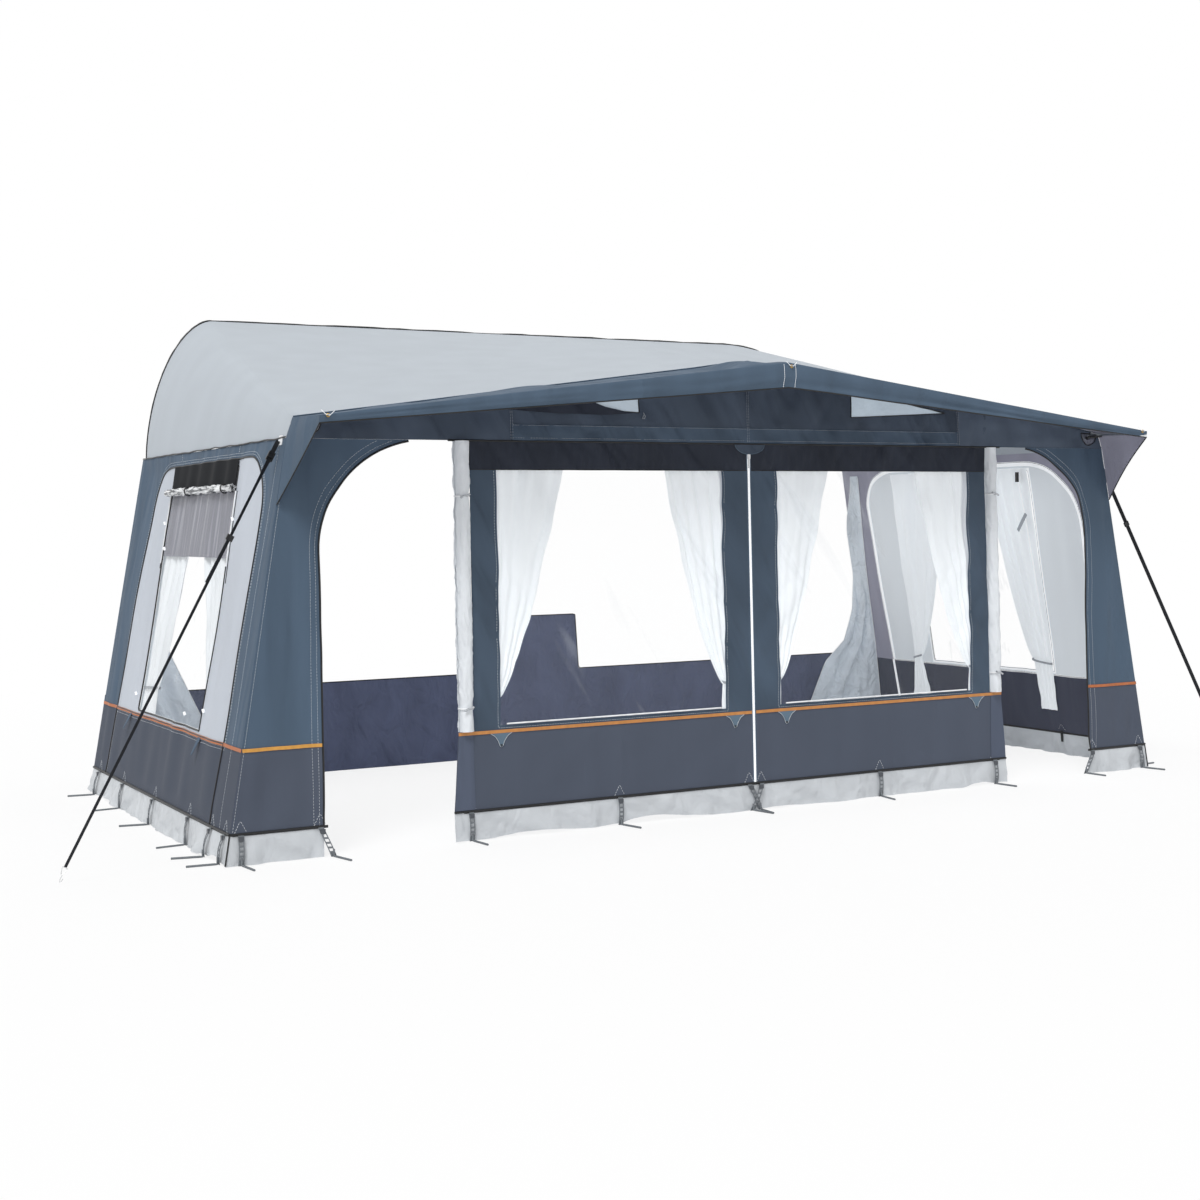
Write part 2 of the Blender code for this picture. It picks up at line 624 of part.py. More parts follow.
def make_side_wall(side, sign):
    """Side wall, its light inset and the window in it."""
    frame = SIDE_WALLS[side]
    edge = CLOTH / 2 + GAP
    outline = [(FRONT_LEAN_SHARE * HEM_HEIGHT + edge, up_side(HEM_HEIGHT)),
               (SIDE_FOOT_DEPTH, up_side(HEM_HEIGHT)),
               (SIDE_EAVE_DEPTH, up_side(EAVE_HEIGHT)),
               (FRONT_LEAN_SHARE * EAVE_HEIGHT + edge, up_side(EAVE_HEIGHT))]
    panel("side_wall_" + side, frame, [mirrored(outline, sign), mirrored(inset_outline(0), sign)],
          (SLATE, 0.8))
    panel("side_inset_" + side, frame, [mirrored(inset_outline(GAP), sign), mirrored(side_pane(0), sign)],
          (LIGHT_GREY, 0.6))
    panel("side_window_" + side, frame, [mirrored(side_pane(GAP), sign)], (CLEAR_FILM, 0.1), FILM)


def make_side_blind():
    """Blind rolled up over the left window, outside the wall."""
    out = CLOTH / 2 + GAP + BLIND_RADIUS
    ends = [Vector((-run, up_side(BLIND_HEIGHT), out))
            for run in (SIDE_PANE_FRONT - BLIND_OVERLAP, SIDE_PANE_BACK + BLIND_OVERLAP)]
    rolled_cloth("side_blind_left", [SIDE_WALLS["left"] @ end for end in ends], BLIND_RADIUS,
                 BLIND_TIE_SHARES, BLIND_STEPS, (LIGHT_GREY, 0.5))


def make_skirt():
    """Draught skirt under the caravan, with the wheel-arch cover."""
    outline = [(-corner_x(0), GAP), (corner_x(0), GAP),
               (corner_x(SKIRT_TOP), SKIRT_TOP), (ARCH_COVER_RIGHT, SKIRT_TOP),
               (ARCH_COVER_RIGHT - ARCH_COVER_SLANT, ARCH_COVER_TOP),
               (ARCH_COVER_LEFT + ARCH_COVER_SLANT, ARCH_COVER_TOP),
               (ARCH_COVER_LEFT, SKIRT_TOP), (-corner_x(SKIRT_TOP), SKIRT_TOP)]
    panel("draught_skirt", SKIRT_WALL, [outline], (DARK_SLATE, 0.7))


def curtain_width(height, top, top_width, tie_height, tail_foot):
    """Width of a tied curtain at one height."""
    if height >= tie_height:
        share = (height - tie_height) / (top - tie_height)
        return TIE_WIDTH + (top_width - TIE_WIDTH) * share ** CURTAIN_SWEEP_SHARE
    share = (tie_height - height) / (tie_height - tail_foot)
    return TIE_WIDTH + (TAIL_WIDTH - TIE_WIDTH) * share


def make_curtain(name, frame, outer_edge, inward, top_width, heights):
    """Curtain gathered to a tie at its outer edge, with its main folds."""
    top, tie_height, tail_foot = heights
    rows = [top + (tie_height - top) * i / CURTAIN_ROWS for i in range(CURTAIN_ROWS)]
    rows += [tie_height + (tail_foot - tie_height) * i / CURTAIN_TAIL_ROWS
             for i in range(CURTAIN_TAIL_ROWS + 1)]
    columns = CURTAIN_FOLDS * CURTAIN_POINTS_PER_FOLD
    cloth = bmesh.new()
    points = []
    for height in rows:
        width = curtain_width(height, top, top_width, tie_height, tail_foot)
        looseness = (width - TIE_WIDTH) / (top_width - TIE_WIDTH)
        depth = TIED_FOLD_DEPTH + (FOLD_DEPTH - TIED_FOLD_DEPTH) * looseness
        row = []
        for i in range(columns + 1):
            fold = (1 - math.cos(2 * math.pi * i / CURTAIN_POINTS_PER_FOLD)) / 2
            row.append((outer_edge + inward * width * i / columns, height, -CLOTH / 2 - GAP - depth * fold))
        points.append(row)
    loft(cloth, points)
    skin = bmesh.ops.extrude_face_region(cloth, geom=cloth.faces[:])
    moved = [item for item in skin["geom"] if isinstance(item, bmesh.types.BMVert)]
    bmesh.ops.translate(cloth, verts=moved, vec=(0, 0, -CURTAIN_THICKNESS))
    bmesh.ops.recalc_face_normals(cloth, faces=cloth.faces)
    mesh = bpy.data.meshes.new(name)
    cloth.to_mesh(mesh)
    cloth.free()
    place(name, mesh, (WHITE_CLOTH, 0.8), frame)


def make_curtains():
    """Two curtains at each front window and at each side window."""
    front = (CURTAIN_TOP, FRONT_TIE_HEIGHT, FRONT_TAIL_FOOT)
    side_heights = tuple(up_side(height) for height in (CURTAIN_TOP, SIDE_TIE_HEIGHT, SIDE_TAIL_FOOT))
    for side, sign in SIDE_SIGN.items():
        make_curtain("front_curtain_" + side + "_outer", FRONT_WALL,
                     sign * (PANE_OUTER_X + FRONT_CURTAIN_LAP), -sign, OUTER_CURTAIN_WIDTH, front)
        make_curtain("front_curtain_" + side + "_inner", FRONT_WALL,
                     sign * (PANE_INNER_X - FRONT_CURTAIN_LAP), sign, INNER_CURTAIN_WIDTH, front)
        make_curtain("side_curtain_" + side + "_front", SIDE_WALLS[side],
                     sign * (SIDE_PANE_FRONT - SIDE_CURTAIN_LAP), sign, SIDE_FRONT_CURTAIN_WIDTH,
                     side_heights)
        make_curtain("side_curtain_" + side + "_back", SIDE_WALLS[side],
                     sign * (SIDE_PANE_BACK + SIDE_CURTAIN_LAP), -sign, SIDE_BACK_CURTAIN_WIDTH,
                     side_heights)


def ladder_row(frame, across, up, lying, skew):
    """Point of a ladder, hanging on its wall or lying out on the ground."""
    out = CLOTH / 2 + GAP + LADDER_THICKNESS / 2
    point = frame @ Vector((across, up, out))
    if lying is None:
        return point
    outward = frame.to_3x3() @ Vector((0, 0, 1))
    outward.z = 0
    along = frame.to_3x3() @ Vector((1, 0, 0))
    point += outward.normalized() * lying + along * lying * skew
    point.z = LADDER_THICKNESS / 2 + GAP
    return point


def make_pegging_tape(name, frame, places, to_height):
    """Hem tape with pegging ladders that hang from it and lie outwards."""
    half, rail = LADDER_WIDTH / 2, LADDER_WIDTH / 2 - LADDER_RAIL
    offsets = (-half, -rail, rail, half)
    stops = [min(places) - TAPE_END] + [where + offset for where in places for offset in offsets]
    stops.append(max(places) + TAPE_END)
    tape_foot = TAPE_TOP - TAPE_HEIGHT
    sheet = bmesh.new()
    tape = loft(sheet, [[ladder_row(frame, stop, to_height(height), None, 0) for stop in stops]
                        for height in (tape_foot, TAPE_TOP)])
    slot = (tape_foot - 2 * LADDER_RUNG) / 2
    hanging = [tape_foot - LADDER_RUNG, tape_foot - LADDER_RUNG - slot, tape_foot - 2 * LADDER_RUNG - slot]
    reach = (LADDER_LYING - 2 * LADDER_RUNG) / 2
    lying = [0, LADDER_RUNG, LADDER_RUNG + reach, 2 * LADDER_RUNG + reach]
    lying.append(LADDER_LYING)
    for number, where in enumerate(places):
        skew = LADDER_SKEW_SHARES[number % len(LADDER_SKEW_SHARES)]
        rows = [[(where + offset, to_height(height), None) for offset in offsets] for height in hanging]
        rows += [[(where + offset, to_height(0), out) for offset in offsets] for out in lying]
        above = tape[0][1 + len(offsets) * number:1 + len(offsets) * (number + 1)]
        for index, row in enumerate(rows):
            below = [sheet.verts.new(ladder_row(frame, across, up, out, skew)) for across, up, out in row]
            for column in range(len(offsets) - 1):
                if column == 1 and index in (1, 3, 5):
                    continue
                sheet.faces.new((below[column], below[column + 1], above[column + 1], above[column]))
            above = below
    bmesh.ops.recalc_face_normals(sheet, faces=sheet.faces)
    thicken(surface_part(name, sheet, (PLASTIC_GREY, 0.5)), LADDER_THICKNESS, 0)


def make_pegging():
    """Pegging tapes of the front and side walls."""
    centre = sorted([-where for where in CENTRE_LADDERS] + list(CENTRE_LADDERS))
    make_pegging_tape("ladders_front_centre", FRONT_WALL, centre, float)
    for side, sign in SIDE_SIGN.items():
        column = sorted(sign * where for where in COLUMN_LADDERS)
        make_pegging_tape("ladders_front_" + side, FRONT_WALL, column, float)
        run = sorted(sign * SIDE_FOOT_DEPTH * share for share in SIDE_LADDER_SHARES)
        make_pegging_tape("ladders_side_" + side, SIDE_WALLS[side], run, up_side)


def leg_frame(foot_x, rake_sign):
    """Frame of an upright: Z runs up the leg from its foot."""
    up = Vector((-rake_sign * SIDE_RAKE_SHARE, FRONT_LEAN_SHARE, 1)).normalized()
    back = Vector((0, 1, 0))
    across = back.cross(up).normalized()
    frame = Matrix((across, up.cross(across), up)).transposed().to_4x4()
    tilt = math.sqrt(1 - up.z ** 2)
    frame.translation = Vector((foot_x, FRONT_Y + LEG_SETBACK, FOOT_RADIUS * tilt))
    return frame


def make_upright(name, foot_x, rake_sign, top_height):
    """Telescopic upright: outer tube with clamp, sliding foot tube and lever."""
    frame = leg_frame(foot_x, rake_sign)
    stretch = 1 / frame.col[2].z
    top = (top_height - frame.translation.z) * stretch
    clamp = CLAMP_HEIGHT * stretch
    bore = UPRIGHT_RADIUS - TUBE_WALL
    collar_top = clamp + COLLAR_LENGTH
    turned(name + "_outer", frame, [
        (UPRIGHT_RADIUS, top), (UPRIGHT_RADIUS, collar_top), (COLLAR_RADIUS, collar_top),
        (COLLAR_RADIUS, clamp), (bore, clamp), (bore, top)], (STEEL, 0.35, 1.0))
    inner = bore - SLIDE_CLEARANCE
    inner_top = clamp + TUBE_OVERLAP
    turned(name + "_foot_tube", frame, [
        (inner, inner_top), (inner, FOOT_THICKNESS), (FOOT_RADIUS, FOOT_THICKNESS), (FOOT_RADIUS, 0),
        (inner - TUBE_WALL, 0), (inner - TUBE_WALL, inner_top)], (STEEL, 0.35, 1.0))
    lever = [(-LEVER_WIDTH / 2, 0), (-LEVER_WIDTH / 2, -LEVER_LENGTH),
             (LEVER_WIDTH / 2, -LEVER_LENGTH), (LEVER_WIDTH / 2, 0)]
    behind = COLLAR_RADIUS + GAP + LEVER_THICKNESS / 2
    seat = Matrix.Translation((0, behind, collar_top - COLLAR_LENGTH / 2)) @ Matrix.Rotation(math.pi / 2, 4, "X")
    panel(name + "_clamp_lever", frame @ seat, [lever], (BLACK, 0.4), LEVER_THICKNESS)


def butt_gap(radius, rise, run):
    """Room that a sloping tube's square end needs to clear the front wall."""
    return CLOTH / 2 + GAP + radius * (abs(rise / run) + FRONT_LEAN_SHARE)


def roof_pole_ends(share, flat):
    """Front and rear ends of a roof pole that follows the sloping roof."""
    drop = CLOTH + ROOF_POLE_DROP + ROOF_POLE_RADIUS
    across = SHOULDER_X * share
    height = roof_height(across) - drop
    back = (flat * share, BACK_Y - 2 * BEAD_RADIUS - GAP - CLOTH, RAIL_HEIGHT - drop)
    slant = math.hypot(back[0] - across, back[2] - height)
    room = butt_gap(ROOF_POLE_RADIUS, slant, RAIL_DEPTH - 2 * BEAD_RADIUS)
    return (across, front_y(height) + room, height), back


def leg_top(front, back):
    """Height at which an upright stops, just under its roof pole."""
    slope = (back[2] - front[2]) / (back[1] - front[1])
    run = LEG_SETBACK - UPRIGHT_RADIUS - (front[1] - front_y(front[2]))
    under = ROOF_POLE_RADIUS * math.hypot(1, slope) + GAP + UPRIGHT_RADIUS * SIDE_RAKE_SHARE
    return front[2] + slope * run - under


def make_frame():
    """Uprights, roof poles and eave beam."""
    pole_share = ROOF_POLE_FRONT_X / SHOULDER_X
    flats = {"left": RAIL_FLAT_LEFT, "right": RAIL_FLAT_RIGHT}
    for side, sign in SIDE_SIGN.items():
        front, back = roof_pole_ends(pole_share, flats[side])
        ends = [Vector((sign * front[0], front[1], front[2])), Vector((sign * back[0], back[1], back[2]))]
        tube("roof_pole_" + side, ends, ROOF_POLE_RADIUS, (STEEL, 0.35, 1.0))
        make_upright("upright_" + side, sign * (FRONT_WIDTH / 2 - CORNER_INSET), sign, leg_top(front, back))
    front, back = roof_pole_ends(0, 0)
    tube("roof_pole_centre", [front, back], ROOF_POLE_RADIUS, (STEEL, 0.35, 1.0))
    make_upright("upright_centre", 0, 0, leg_top(front, back))
    beam_y = front_y(BEAM_HEIGHT) + CLOTH / 2 + GAP + BEAM_RADIUS
    beam = [(sign * BEAM_HALF_LENGTH, beam_y, BEAM_HEIGHT) for sign in (-1, 1)]
    tube("eave_beam", beam, BEAM_RADIUS, (STEEL, 0.35, 1.0))


def make_canopy_tube():
    """Bent tube that carries the canopy's edge ahead of the wall."""
    share = CANOPY_TUBE_END_X / SHOULDER_X
    ahead = FRONT_Y - CANOPY_REACH + CANOPY_TUBE_SETBACK
    end_top = FASCIA_TOP_END + (FASCIA_TOP_MIDDLE - FASCIA_TOP_END) * (1 - share)
    rear_height = roof_height(CANOPY_TUBE_END_X) - CANOPY_TUBE_DROP
    front_height = end_top - CANOPY_TUBE_DROP
    rear_y = front_y(rear_height) - butt_gap(CANOPY_TUBE_RADIUS, rear_height - front_height, CANOPY_REACH)
    left = [(-CANOPY_TUBE_END_X, rear_y, rear_height),
            (-CANOPY_TUBE_END_X, ahead, front_height)]
    right = [(-x, y, z) for x, y, z in reversed(left)]
    middle = [(0, ahead, FASCIA_TOP_MIDDLE - CANOPY_TUBE_DROP)]
    tube("canopy_tube", left + middle + right, CANOPY_TUBE_RADIUS, (STEEL, 0.35, 1.0))


def make_strap(side, sign):
    """Taut storm strap from the canopy corner to its ground hook."""
    wall = SIDE_WALLS[side]
    top = wall @ Vector((sign * STRAP_TOP_RUN, up_side(STRAP_TOP_HEIGHT), CLOTH / 2 + GAP))
    tip = Vector((sign * STRAP_FOOT_X, FRONT_Y + STRAP_FOOT_RUN, STRAP_FOOT_HEIGHT))
    outward = wall.to_3x3() @ Vector((0, 0, 1))
    edgeways = (tip - top).cross(Vector((0, 1, 0))).normalized()
    top += outward * abs(edgeways.dot(outward)) * STRAP_WIDTH / 2
    along = (tip - top).normalized()
    length = (tip - top).length - HOOK_LENGTH
    across = sign * Vector((0, 1, 0)).cross(along).normalized()
    frame = Matrix((across, along.cross(across), along)).transposed().to_4x4()
    frame.translation = top + along * length / 2
    half_width, half_thickness = STRAP_WIDTH / 2, STRAP_THICKNESS / 2
    section = [(-half_width, -half_thickness), (half_width, -half_thickness),
               (half_width, half_thickness), (-half_width, half_thickness)]
    panel("storm_strap_" + side, frame, [section], (BLACK, 0.7), length)
    slot = [(x + math.copysign(GAP, x), y + math.copysign(GAP, y)) for x, y in section]
    body = [(x * BUCKLE_WIDTH / STRAP_WIDTH, y * BUCKLE_THICKNESS / STRAP_THICKNESS) for x, y in section]
    frame.translation = top + along * length * BUCKLE_PLACE_SHARE
    panel("strap_buckle_" + side, frame, [body, slot], (BLACK, 0.4), BUCKLE_LENGTH)
    bar, waist = half_width + HOOK_WIRE, 2 * HOOK_WIRE
    reach = HOOK_LENGTH - 2 * HOOK_WIRE
    sides = (-waist, -bar, bar, waist, waist, 2 * waist, 4 * waist, 4 * waist)
    end = top + along * (length + GAP + HOOK_WIRE)
    wire = [end + across * side + along * reach * share for side, share in zip(sides, HOOK_SHARES)]
    tube("strap_hook_" + side, wire, HOOK_WIRE, (STEEL, 0.3, 1.0), 1)


def build():
    """Make every sub-part."""
    make_roof()
    make_canopy()
    make_gable()
    for side, sign in SIDE_SIGN.items():
        make_column(side, sign)
        make_front_panel(side, sign)
        make_door_roll(side, sign)
        make_corner_mud_wall(side, sign)
        make_side_wall(side, sign)
        make_strap(side, sign)
    make_zip()
    make_centre_mud_wall()
    make_side_blind()
    make_skirt()
    make_curtains()
    make_pegging()
    make_frame()
    make_canopy_tube()


clear_scene()
PARTS = bpy.data.collections.new("caravan_awning")
bpy.context.scene.collection.children.link(PARTS)
build()
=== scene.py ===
"""Dress the caravan awning: sewn cloth, films, trim, straps and studio."""

import math

import bmesh
import bpy
from mathutils import Matrix, Vector, noise


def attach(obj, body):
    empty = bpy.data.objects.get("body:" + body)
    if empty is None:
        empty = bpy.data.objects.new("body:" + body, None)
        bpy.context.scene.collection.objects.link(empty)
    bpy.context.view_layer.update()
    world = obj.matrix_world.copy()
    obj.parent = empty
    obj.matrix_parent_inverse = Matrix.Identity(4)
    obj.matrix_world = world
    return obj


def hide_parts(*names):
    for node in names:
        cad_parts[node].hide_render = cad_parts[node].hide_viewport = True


bl_info = {
    "name": "Caravan awning dressing",
    "version": (1, 0, 0),
    "blender": (4, 5, 0),
    "location": "3D View > Sidebar > Awning",
    "description": "Sews, hangs and lights the cloth of a caravan awning",
    "category": "Add Mesh",
}

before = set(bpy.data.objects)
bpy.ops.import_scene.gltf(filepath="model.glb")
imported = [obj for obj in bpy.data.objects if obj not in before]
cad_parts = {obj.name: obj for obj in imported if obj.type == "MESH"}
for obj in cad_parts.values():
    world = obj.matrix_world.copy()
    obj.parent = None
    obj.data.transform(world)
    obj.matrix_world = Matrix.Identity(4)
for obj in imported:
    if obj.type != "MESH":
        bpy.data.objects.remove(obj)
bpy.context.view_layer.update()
AWNING = "awning"
MIDDLE = Vector((0, 0.2, 1.0))
SIDES = {"left": -1, "right": 1}

# Sizes of the awning, the same as the solids'
FRONT_WIDTH = 5.28
RAIL_DEPTH = 2.50
CANOPY_REACH = 0.33
EAVE = 1.785
SHOULDER = 1.875
RIDGE = 2.187
RAIL = 2.566
LEAN = 0.0147
RAKE = 0.165
FRONT_Y = (CANOPY_REACH - RAIL_DEPTH) / 2
BACK_Y = FRONT_Y + RAIL_DEPTH
SHOULDER_X = 2.314975
RAIL_FOOT_X = 2.303975
RAIL_FLATS = {-1: RAIL_FOOT_X - 0.374, 1: RAIL_FOOT_X - 0.839}
RAIL_ROUNDS = {-1: 1.8, 1: 2.1}
CLOTH = 0.003
GAP = 0.0003
HEM = 0.133
PIPING = 0.478
SILL = 0.505
HEADER_FOOT = EAVE - 0.130
ROOF_EDGE_STEPS = 9
ROOF_SLOPE_STEPS = 6
ROOF_STEPS = ROOF_EDGE_STEPS + ROOF_SLOPE_STEPS
# Canopy's half width, and heights of its front edge and of its fascia's foot, at the ends and the middle
CANOPY_HALF = 2.322
CANOPY_EDGE = (1.862, 2.152)
FASCIA_FOOT = (1.830, 2.035)
SKIRT_TOP = 0.514
MUD_FOOT = 0.002
CURTAIN_TOP = 1.700

# Front wall, from the middle outwards
PANEL_INNER = 0.0123
PANE_INNER = 0.1613
PANE_OUTER = 1.3663
PANEL_OUTER = 1.4973
PANEL_FOOT = 1.60
ROLL_RADIUS = 0.0385
DOORWAY = 2.206975
ARCH = (0.507, 0.485)
ARCH_TIP = math.radians(80)
VENT_SHARES = (0.348, 0.430, 0.6965)
VENT_X = (0.62, 1.24)

# Side walls, measured back from the front corner
SIDE_FOOT = 2.46
SIDE_TOP = 2.41
# Edges of each side wall's light inset, and the radii of its upper corners
INSETS = {
    -1: {"front_foot": 0.273, "front_top": 0.215, "back_foot": 2.158, "back_top": 2.050,
         "foot": 0.480, "top": 1.722, "front_corner": (0.23, 0.23), "back_corner": (0.23, 0.23)},
    1: {"front_foot": 0.265, "front_top": 0.240, "back_foot": 2.145, "back_top": 2.210,
        "foot": 0.480, "top": 1.735, "front_corner": (0.42, 0.40), "back_corner": (0.33, 0.25)},
}
SIDE_PANE = (0.63, 1.72, 0.50, 1.69)
FLAP_TOP = 1.70

# Storm straps: height of their top, how far out their tip is, and the hook's length
STRAP_TOP = 1.775
STRAP_REACH = 0.668
STRAP_HOOK = 0.062

# Ladders: reach of a peg lying on the ground, and how each one and each ladder is turned
LADDER_REACH = 0.136
LADDER_SKEWS = (0.10, 0.22, -0.10, 0.20, -0.12, 0.15)
LADDER_LEANS = {"front_left": (0.0, 0.055), "front_right": (-0.045, 0.025),
                "front_centre": (0.0, 0.0, 0.060, -0.060, 0.0, 0.0)}
SIDE_LADDERS = [SIDE_FOOT * share for share in (0.0272, 0.1028, 0.2476, 0.4894, 0.7329, 0.9382)]
LADDERS = {
    "front_left": (-1, [-2.572, -2.225]),
    "front_right": (1, [2.225, 2.572]),
    "front_centre": (0, [-1.52, -0.76, -0.035, 0.035, 0.76, 1.52]),
    "side_left": (-1, SIDE_LADDERS),
    "side_right": (1, SIDE_LADDERS),
}

# The photograph's camera, solved from the awning's own edges: place, turn and roll in degrees
CAMERA_PLACE = (-4.745, -8.148, 1.403)
CAMERA_TURN = (-28.897, -0.7526)
CAMERA_LENS = 52.19
CAMERA_SHIFT = -0.0631


def linear(colour):
    """Linear red, green and blue of an sRGB hex colour."""
    parts = [int(colour[i:i + 2], 16) / 255 for i in (0, 2, 4)]
    return tuple(p / 12.92 if p <= 0.04045 else ((p + 0.055) / 1.055) ** 2.4 for p in parts)


def length_property(name, default, description):
    """A size in metres that the panel shows."""
    return bpy.props.FloatProperty(name=name, description=description, default=default, min=0,
                                   precision=4, subtype="DISTANCE", unit="LENGTH")


def colour_property(name, default, description):
    """A colour that the panel shows, given as sRGB hex."""
    return bpy.props.FloatVectorProperty(name=name, description=description, default=linear(default),
                                         size=3, min=0, max=1, subtype="COLOR")


class AwningSizes(bpy.types.PropertyGroup):
    """Sizes of the cloth and its trim."""
    cloth: length_property("Cloth", 0.0012, "Thickness of the coated cloth as drawn")
    grid: length_property("Cloth grid", 0.022, "Spacing of the cloth's mesh")
    stitch: length_property("Stitch", 0.008, "Length of one drawn stitch")
    stitch_pitch: length_property("Stitch pitch", 0.013, "Distance from one drawn stitch to the next")
    thread: length_property("Thread", 0.0007, "Radius of the drawn thread")
    pleat: length_property("Pleat spacing", 0.030, "Distance between the header's pleats")
    mud_fold: length_property("Mud wall fold", 0.022, "How deep the mud walls' folds are at the ground")
    curtain_fold: length_property("Curtain fold", 0.030, "How deep the curtains' folds are at the top")
    orange_band: length_property("Orange band", 0.015, "Width of the sewn orange band")


class AwningColours(bpy.types.PropertyGroup):
    """Colours of the awning's cloths and fittings."""
    slate: colour_property("Slate cloth", "4C5D6F", "Walls above the band, and the canopy")
    # The gable's colour is the slate cloth painted darker, as the canopy's shade on it
    gable: colour_property("Gable cloth", "434D5B", "Gable in the canopy's shade")
    inner: colour_property("Inner face", "858593", "Inner face of the slate cloth")
    lower: colour_property("Lower cloth", "4D5462", "Bands below the orange band")
    inner_lower: colour_property("Lower inner face", "474A58", "Inner face of the lower cloth")
    header: colour_property("Header", "2A2F3A", "Band over the front windows")
    skirt: colour_property("Skirt", "596079", "Draught skirt along the back")
    flap: colour_property("Rear flaps", "C0C8D0", "Draught flaps behind the side walls")
    roof: colour_property("Roof", "B5BCC3", "Roof sheet")
    mud: colour_property("Mud wall", "C9CDD1", "Mud walls below the hem")
    inset: colour_property("Inset", "BFC5CE", "Light insets of the side walls")
    inset_inner: colour_property("Inset inner face", "D2D7DB", "Inner face of the light insets")
    door: colour_property("Door lining", "D9DDE1", "Inner face of the rolled doors")
    curtain: colour_property("Curtain", "DEE2E5", "Curtains")
    orange: colour_property("Orange band", "BE8044", "Band along the front panels")
    # Copies of the orange band: one painted lighter as light on the left corner, one painted darker as
    # shade on the right corner and the sides
    orange_in_painted_light: colour_property("Orange band, left corner", "CE9544", "Band in full light")
    orange_side: colour_property("Orange band, sides", "B0663A", "Band on the side walls")
    tab: colour_property("Tabs", "5F7282", "Small cloth tabs")
    stile: colour_property("Stiles", "455363", "Upright bands beside the front windows")
    # Turned edges: a lighter colour that paints the light on the folded-back cloth
    turn: colour_property("Turned edges", "525A6B", "Turned edges of the middle panels")
    film: colour_property("Film", "E9EFF4", "Clear windows")
    black: colour_property("Black trim", "0A0B0E", "Black piping, bead and hem tape")
    ladder: colour_property("Ladders", "6C7176", "Pegging ladders and pegs")
    white: colour_property("White trim", "EEF0F2", "Zip, thread and window strips")


def sizes():
    """The panel's sizes."""
    return bpy.context.scene.awning_sizes


def colours():
    """The panel's colours."""
    return bpy.context.scene.awning_colours


# Shapes

def smooth(share):
    """Soft step from 0 to 1."""
    share = min(1.0, max(0.0, share))
    return share * share * (3 - 2 * share)


def bump(distance, width):
    """Rounded rise that is 1 in its middle and fades over a width."""
    return math.exp(-(distance / width) ** 2)


def wave(across, up, seed):
    """Even, repeatable unevenness of hanging cloth, from about -1 to 1."""
    return 1.6 * noise.noise(Vector((across, up, seed * 7.31)))


def corner_x(z):
    """Half the awning's width at a height."""
    return FRONT_WIDTH / 2 - RAKE * z


def front_y(z):
    """Place of the leaning front wall at a height."""
    return FRONT_Y + LEAN * z


def roof_edge(x):
    """Height of the roof's edge over the front wall."""
    return SHOULDER + (RIDGE - SHOULDER) * (1 - abs(x) / SHOULDER_X)


def header_pleats(x, z):
    """Soft upright pleats of the header over the front windows."""
    in_band = smooth((EAVE - z) / 0.03) * smooth((z - HEADER_FOOT) / 0.03)
    if in_band <= 0 or abs(x) > PANEL_OUTER:
        return 0.0
    drift = 4 * wave(3 * x, 2 * z, 2)
    depth = 0.0042 * (0.55 + 0.45 * wave(2.5 * x, 0, 6))
    return depth * in_band * math.sin(2 * math.pi * x / (1.7 * sizes().pleat) + drift)


def front_relief(x, z):
    """How far the taut front cloth stands off its flat."""
    across = abs(x)
    calm = smooth((corner_x(z) - across) / 0.10) * smooth((across - 0.015) / 0.05)
    calm *= smooth(abs(z - HEM) / 0.09)
    lift = 0.0045 * wave(1.7 * x, 1.3 * z, 1)
    lift += 0.013 * smooth((across - 1.85) / 0.3) * wave(11 * x, 1.3 * z, 5)
    lift += 0.0040 * smooth((0.47 - z) / 0.08) * wave(5 * across + 4 * z, 3 * z, 9)
    lift += 0.0046 * smooth((z - 0.6) / 0.3) * wave(12 * x + 5 * z, 3.0 * z, 4)
    if across < PANEL_OUTER:
        lift += 0.010 * smooth((z - 0.5) / 0.2) * abs(wave(9 * across - 6 * z, 2.2 * z, 14))
    if z > EAVE:
        lift += 0.007 * smooth((z - 1.87) / 0.04) * wave(7 * x + 3 * z, 6 * z, 17)
        lift *= smooth(abs(z - 1.830) / 0.04)
        lift += 0.0045 * bump(z - 1.826, 0.024)
    return calm * lift + header_pleats(x, z)


FRONT_OUT = Vector((0, -1, LEAN)).normalized()


def on_front(x, z, out=0.0):
    """Point on the front wall, some distance proud of it."""
    return Vector((x, front_y(z), z)) + FRONT_OUT * (out + front_relief(x, z))


def side_relief(sign, run, z):
    """How far the taut side cloth stands off its flat."""
    calm = smooth(run / 0.10) * smooth(abs(z - HEM) / 0.09) * smooth((SIDE_TOP - run) / 0.1)
    lift = 0.0070 * wave(1.4 * run, 1.5 * z, 11 + sign)
    lift += 0.0080 * wave(8 * run, 1.4 * z, 15 + sign)
    return calm * smooth((EAVE - z) / 0.08) * lift


def on_side(sign):
    """Function that gives points on a raked side wall, by run and height."""
    outward = Vector((sign, 0, RAKE)).normalized()

    def place(run, z, out=0.0):
        return (Vector((sign * corner_x(z), FRONT_Y + run, z))
                + outward * (out + side_relief(sign, run, z)))
    return place


def mirrored(outline, sign):
    """Outline on the left or right half of the front wall."""
    return [(sign * x, z) for x, z in outline]


def arc(centre, radii, start, end, steps):
    """Points on a stretch of an ellipse."""
    angles = [start + (end - start) * i / steps for i in range(steps + 1)]
    return [(centre[0] + radii[0] * math.cos(a), centre[1] + radii[1] * math.sin(a)) for a in angles]


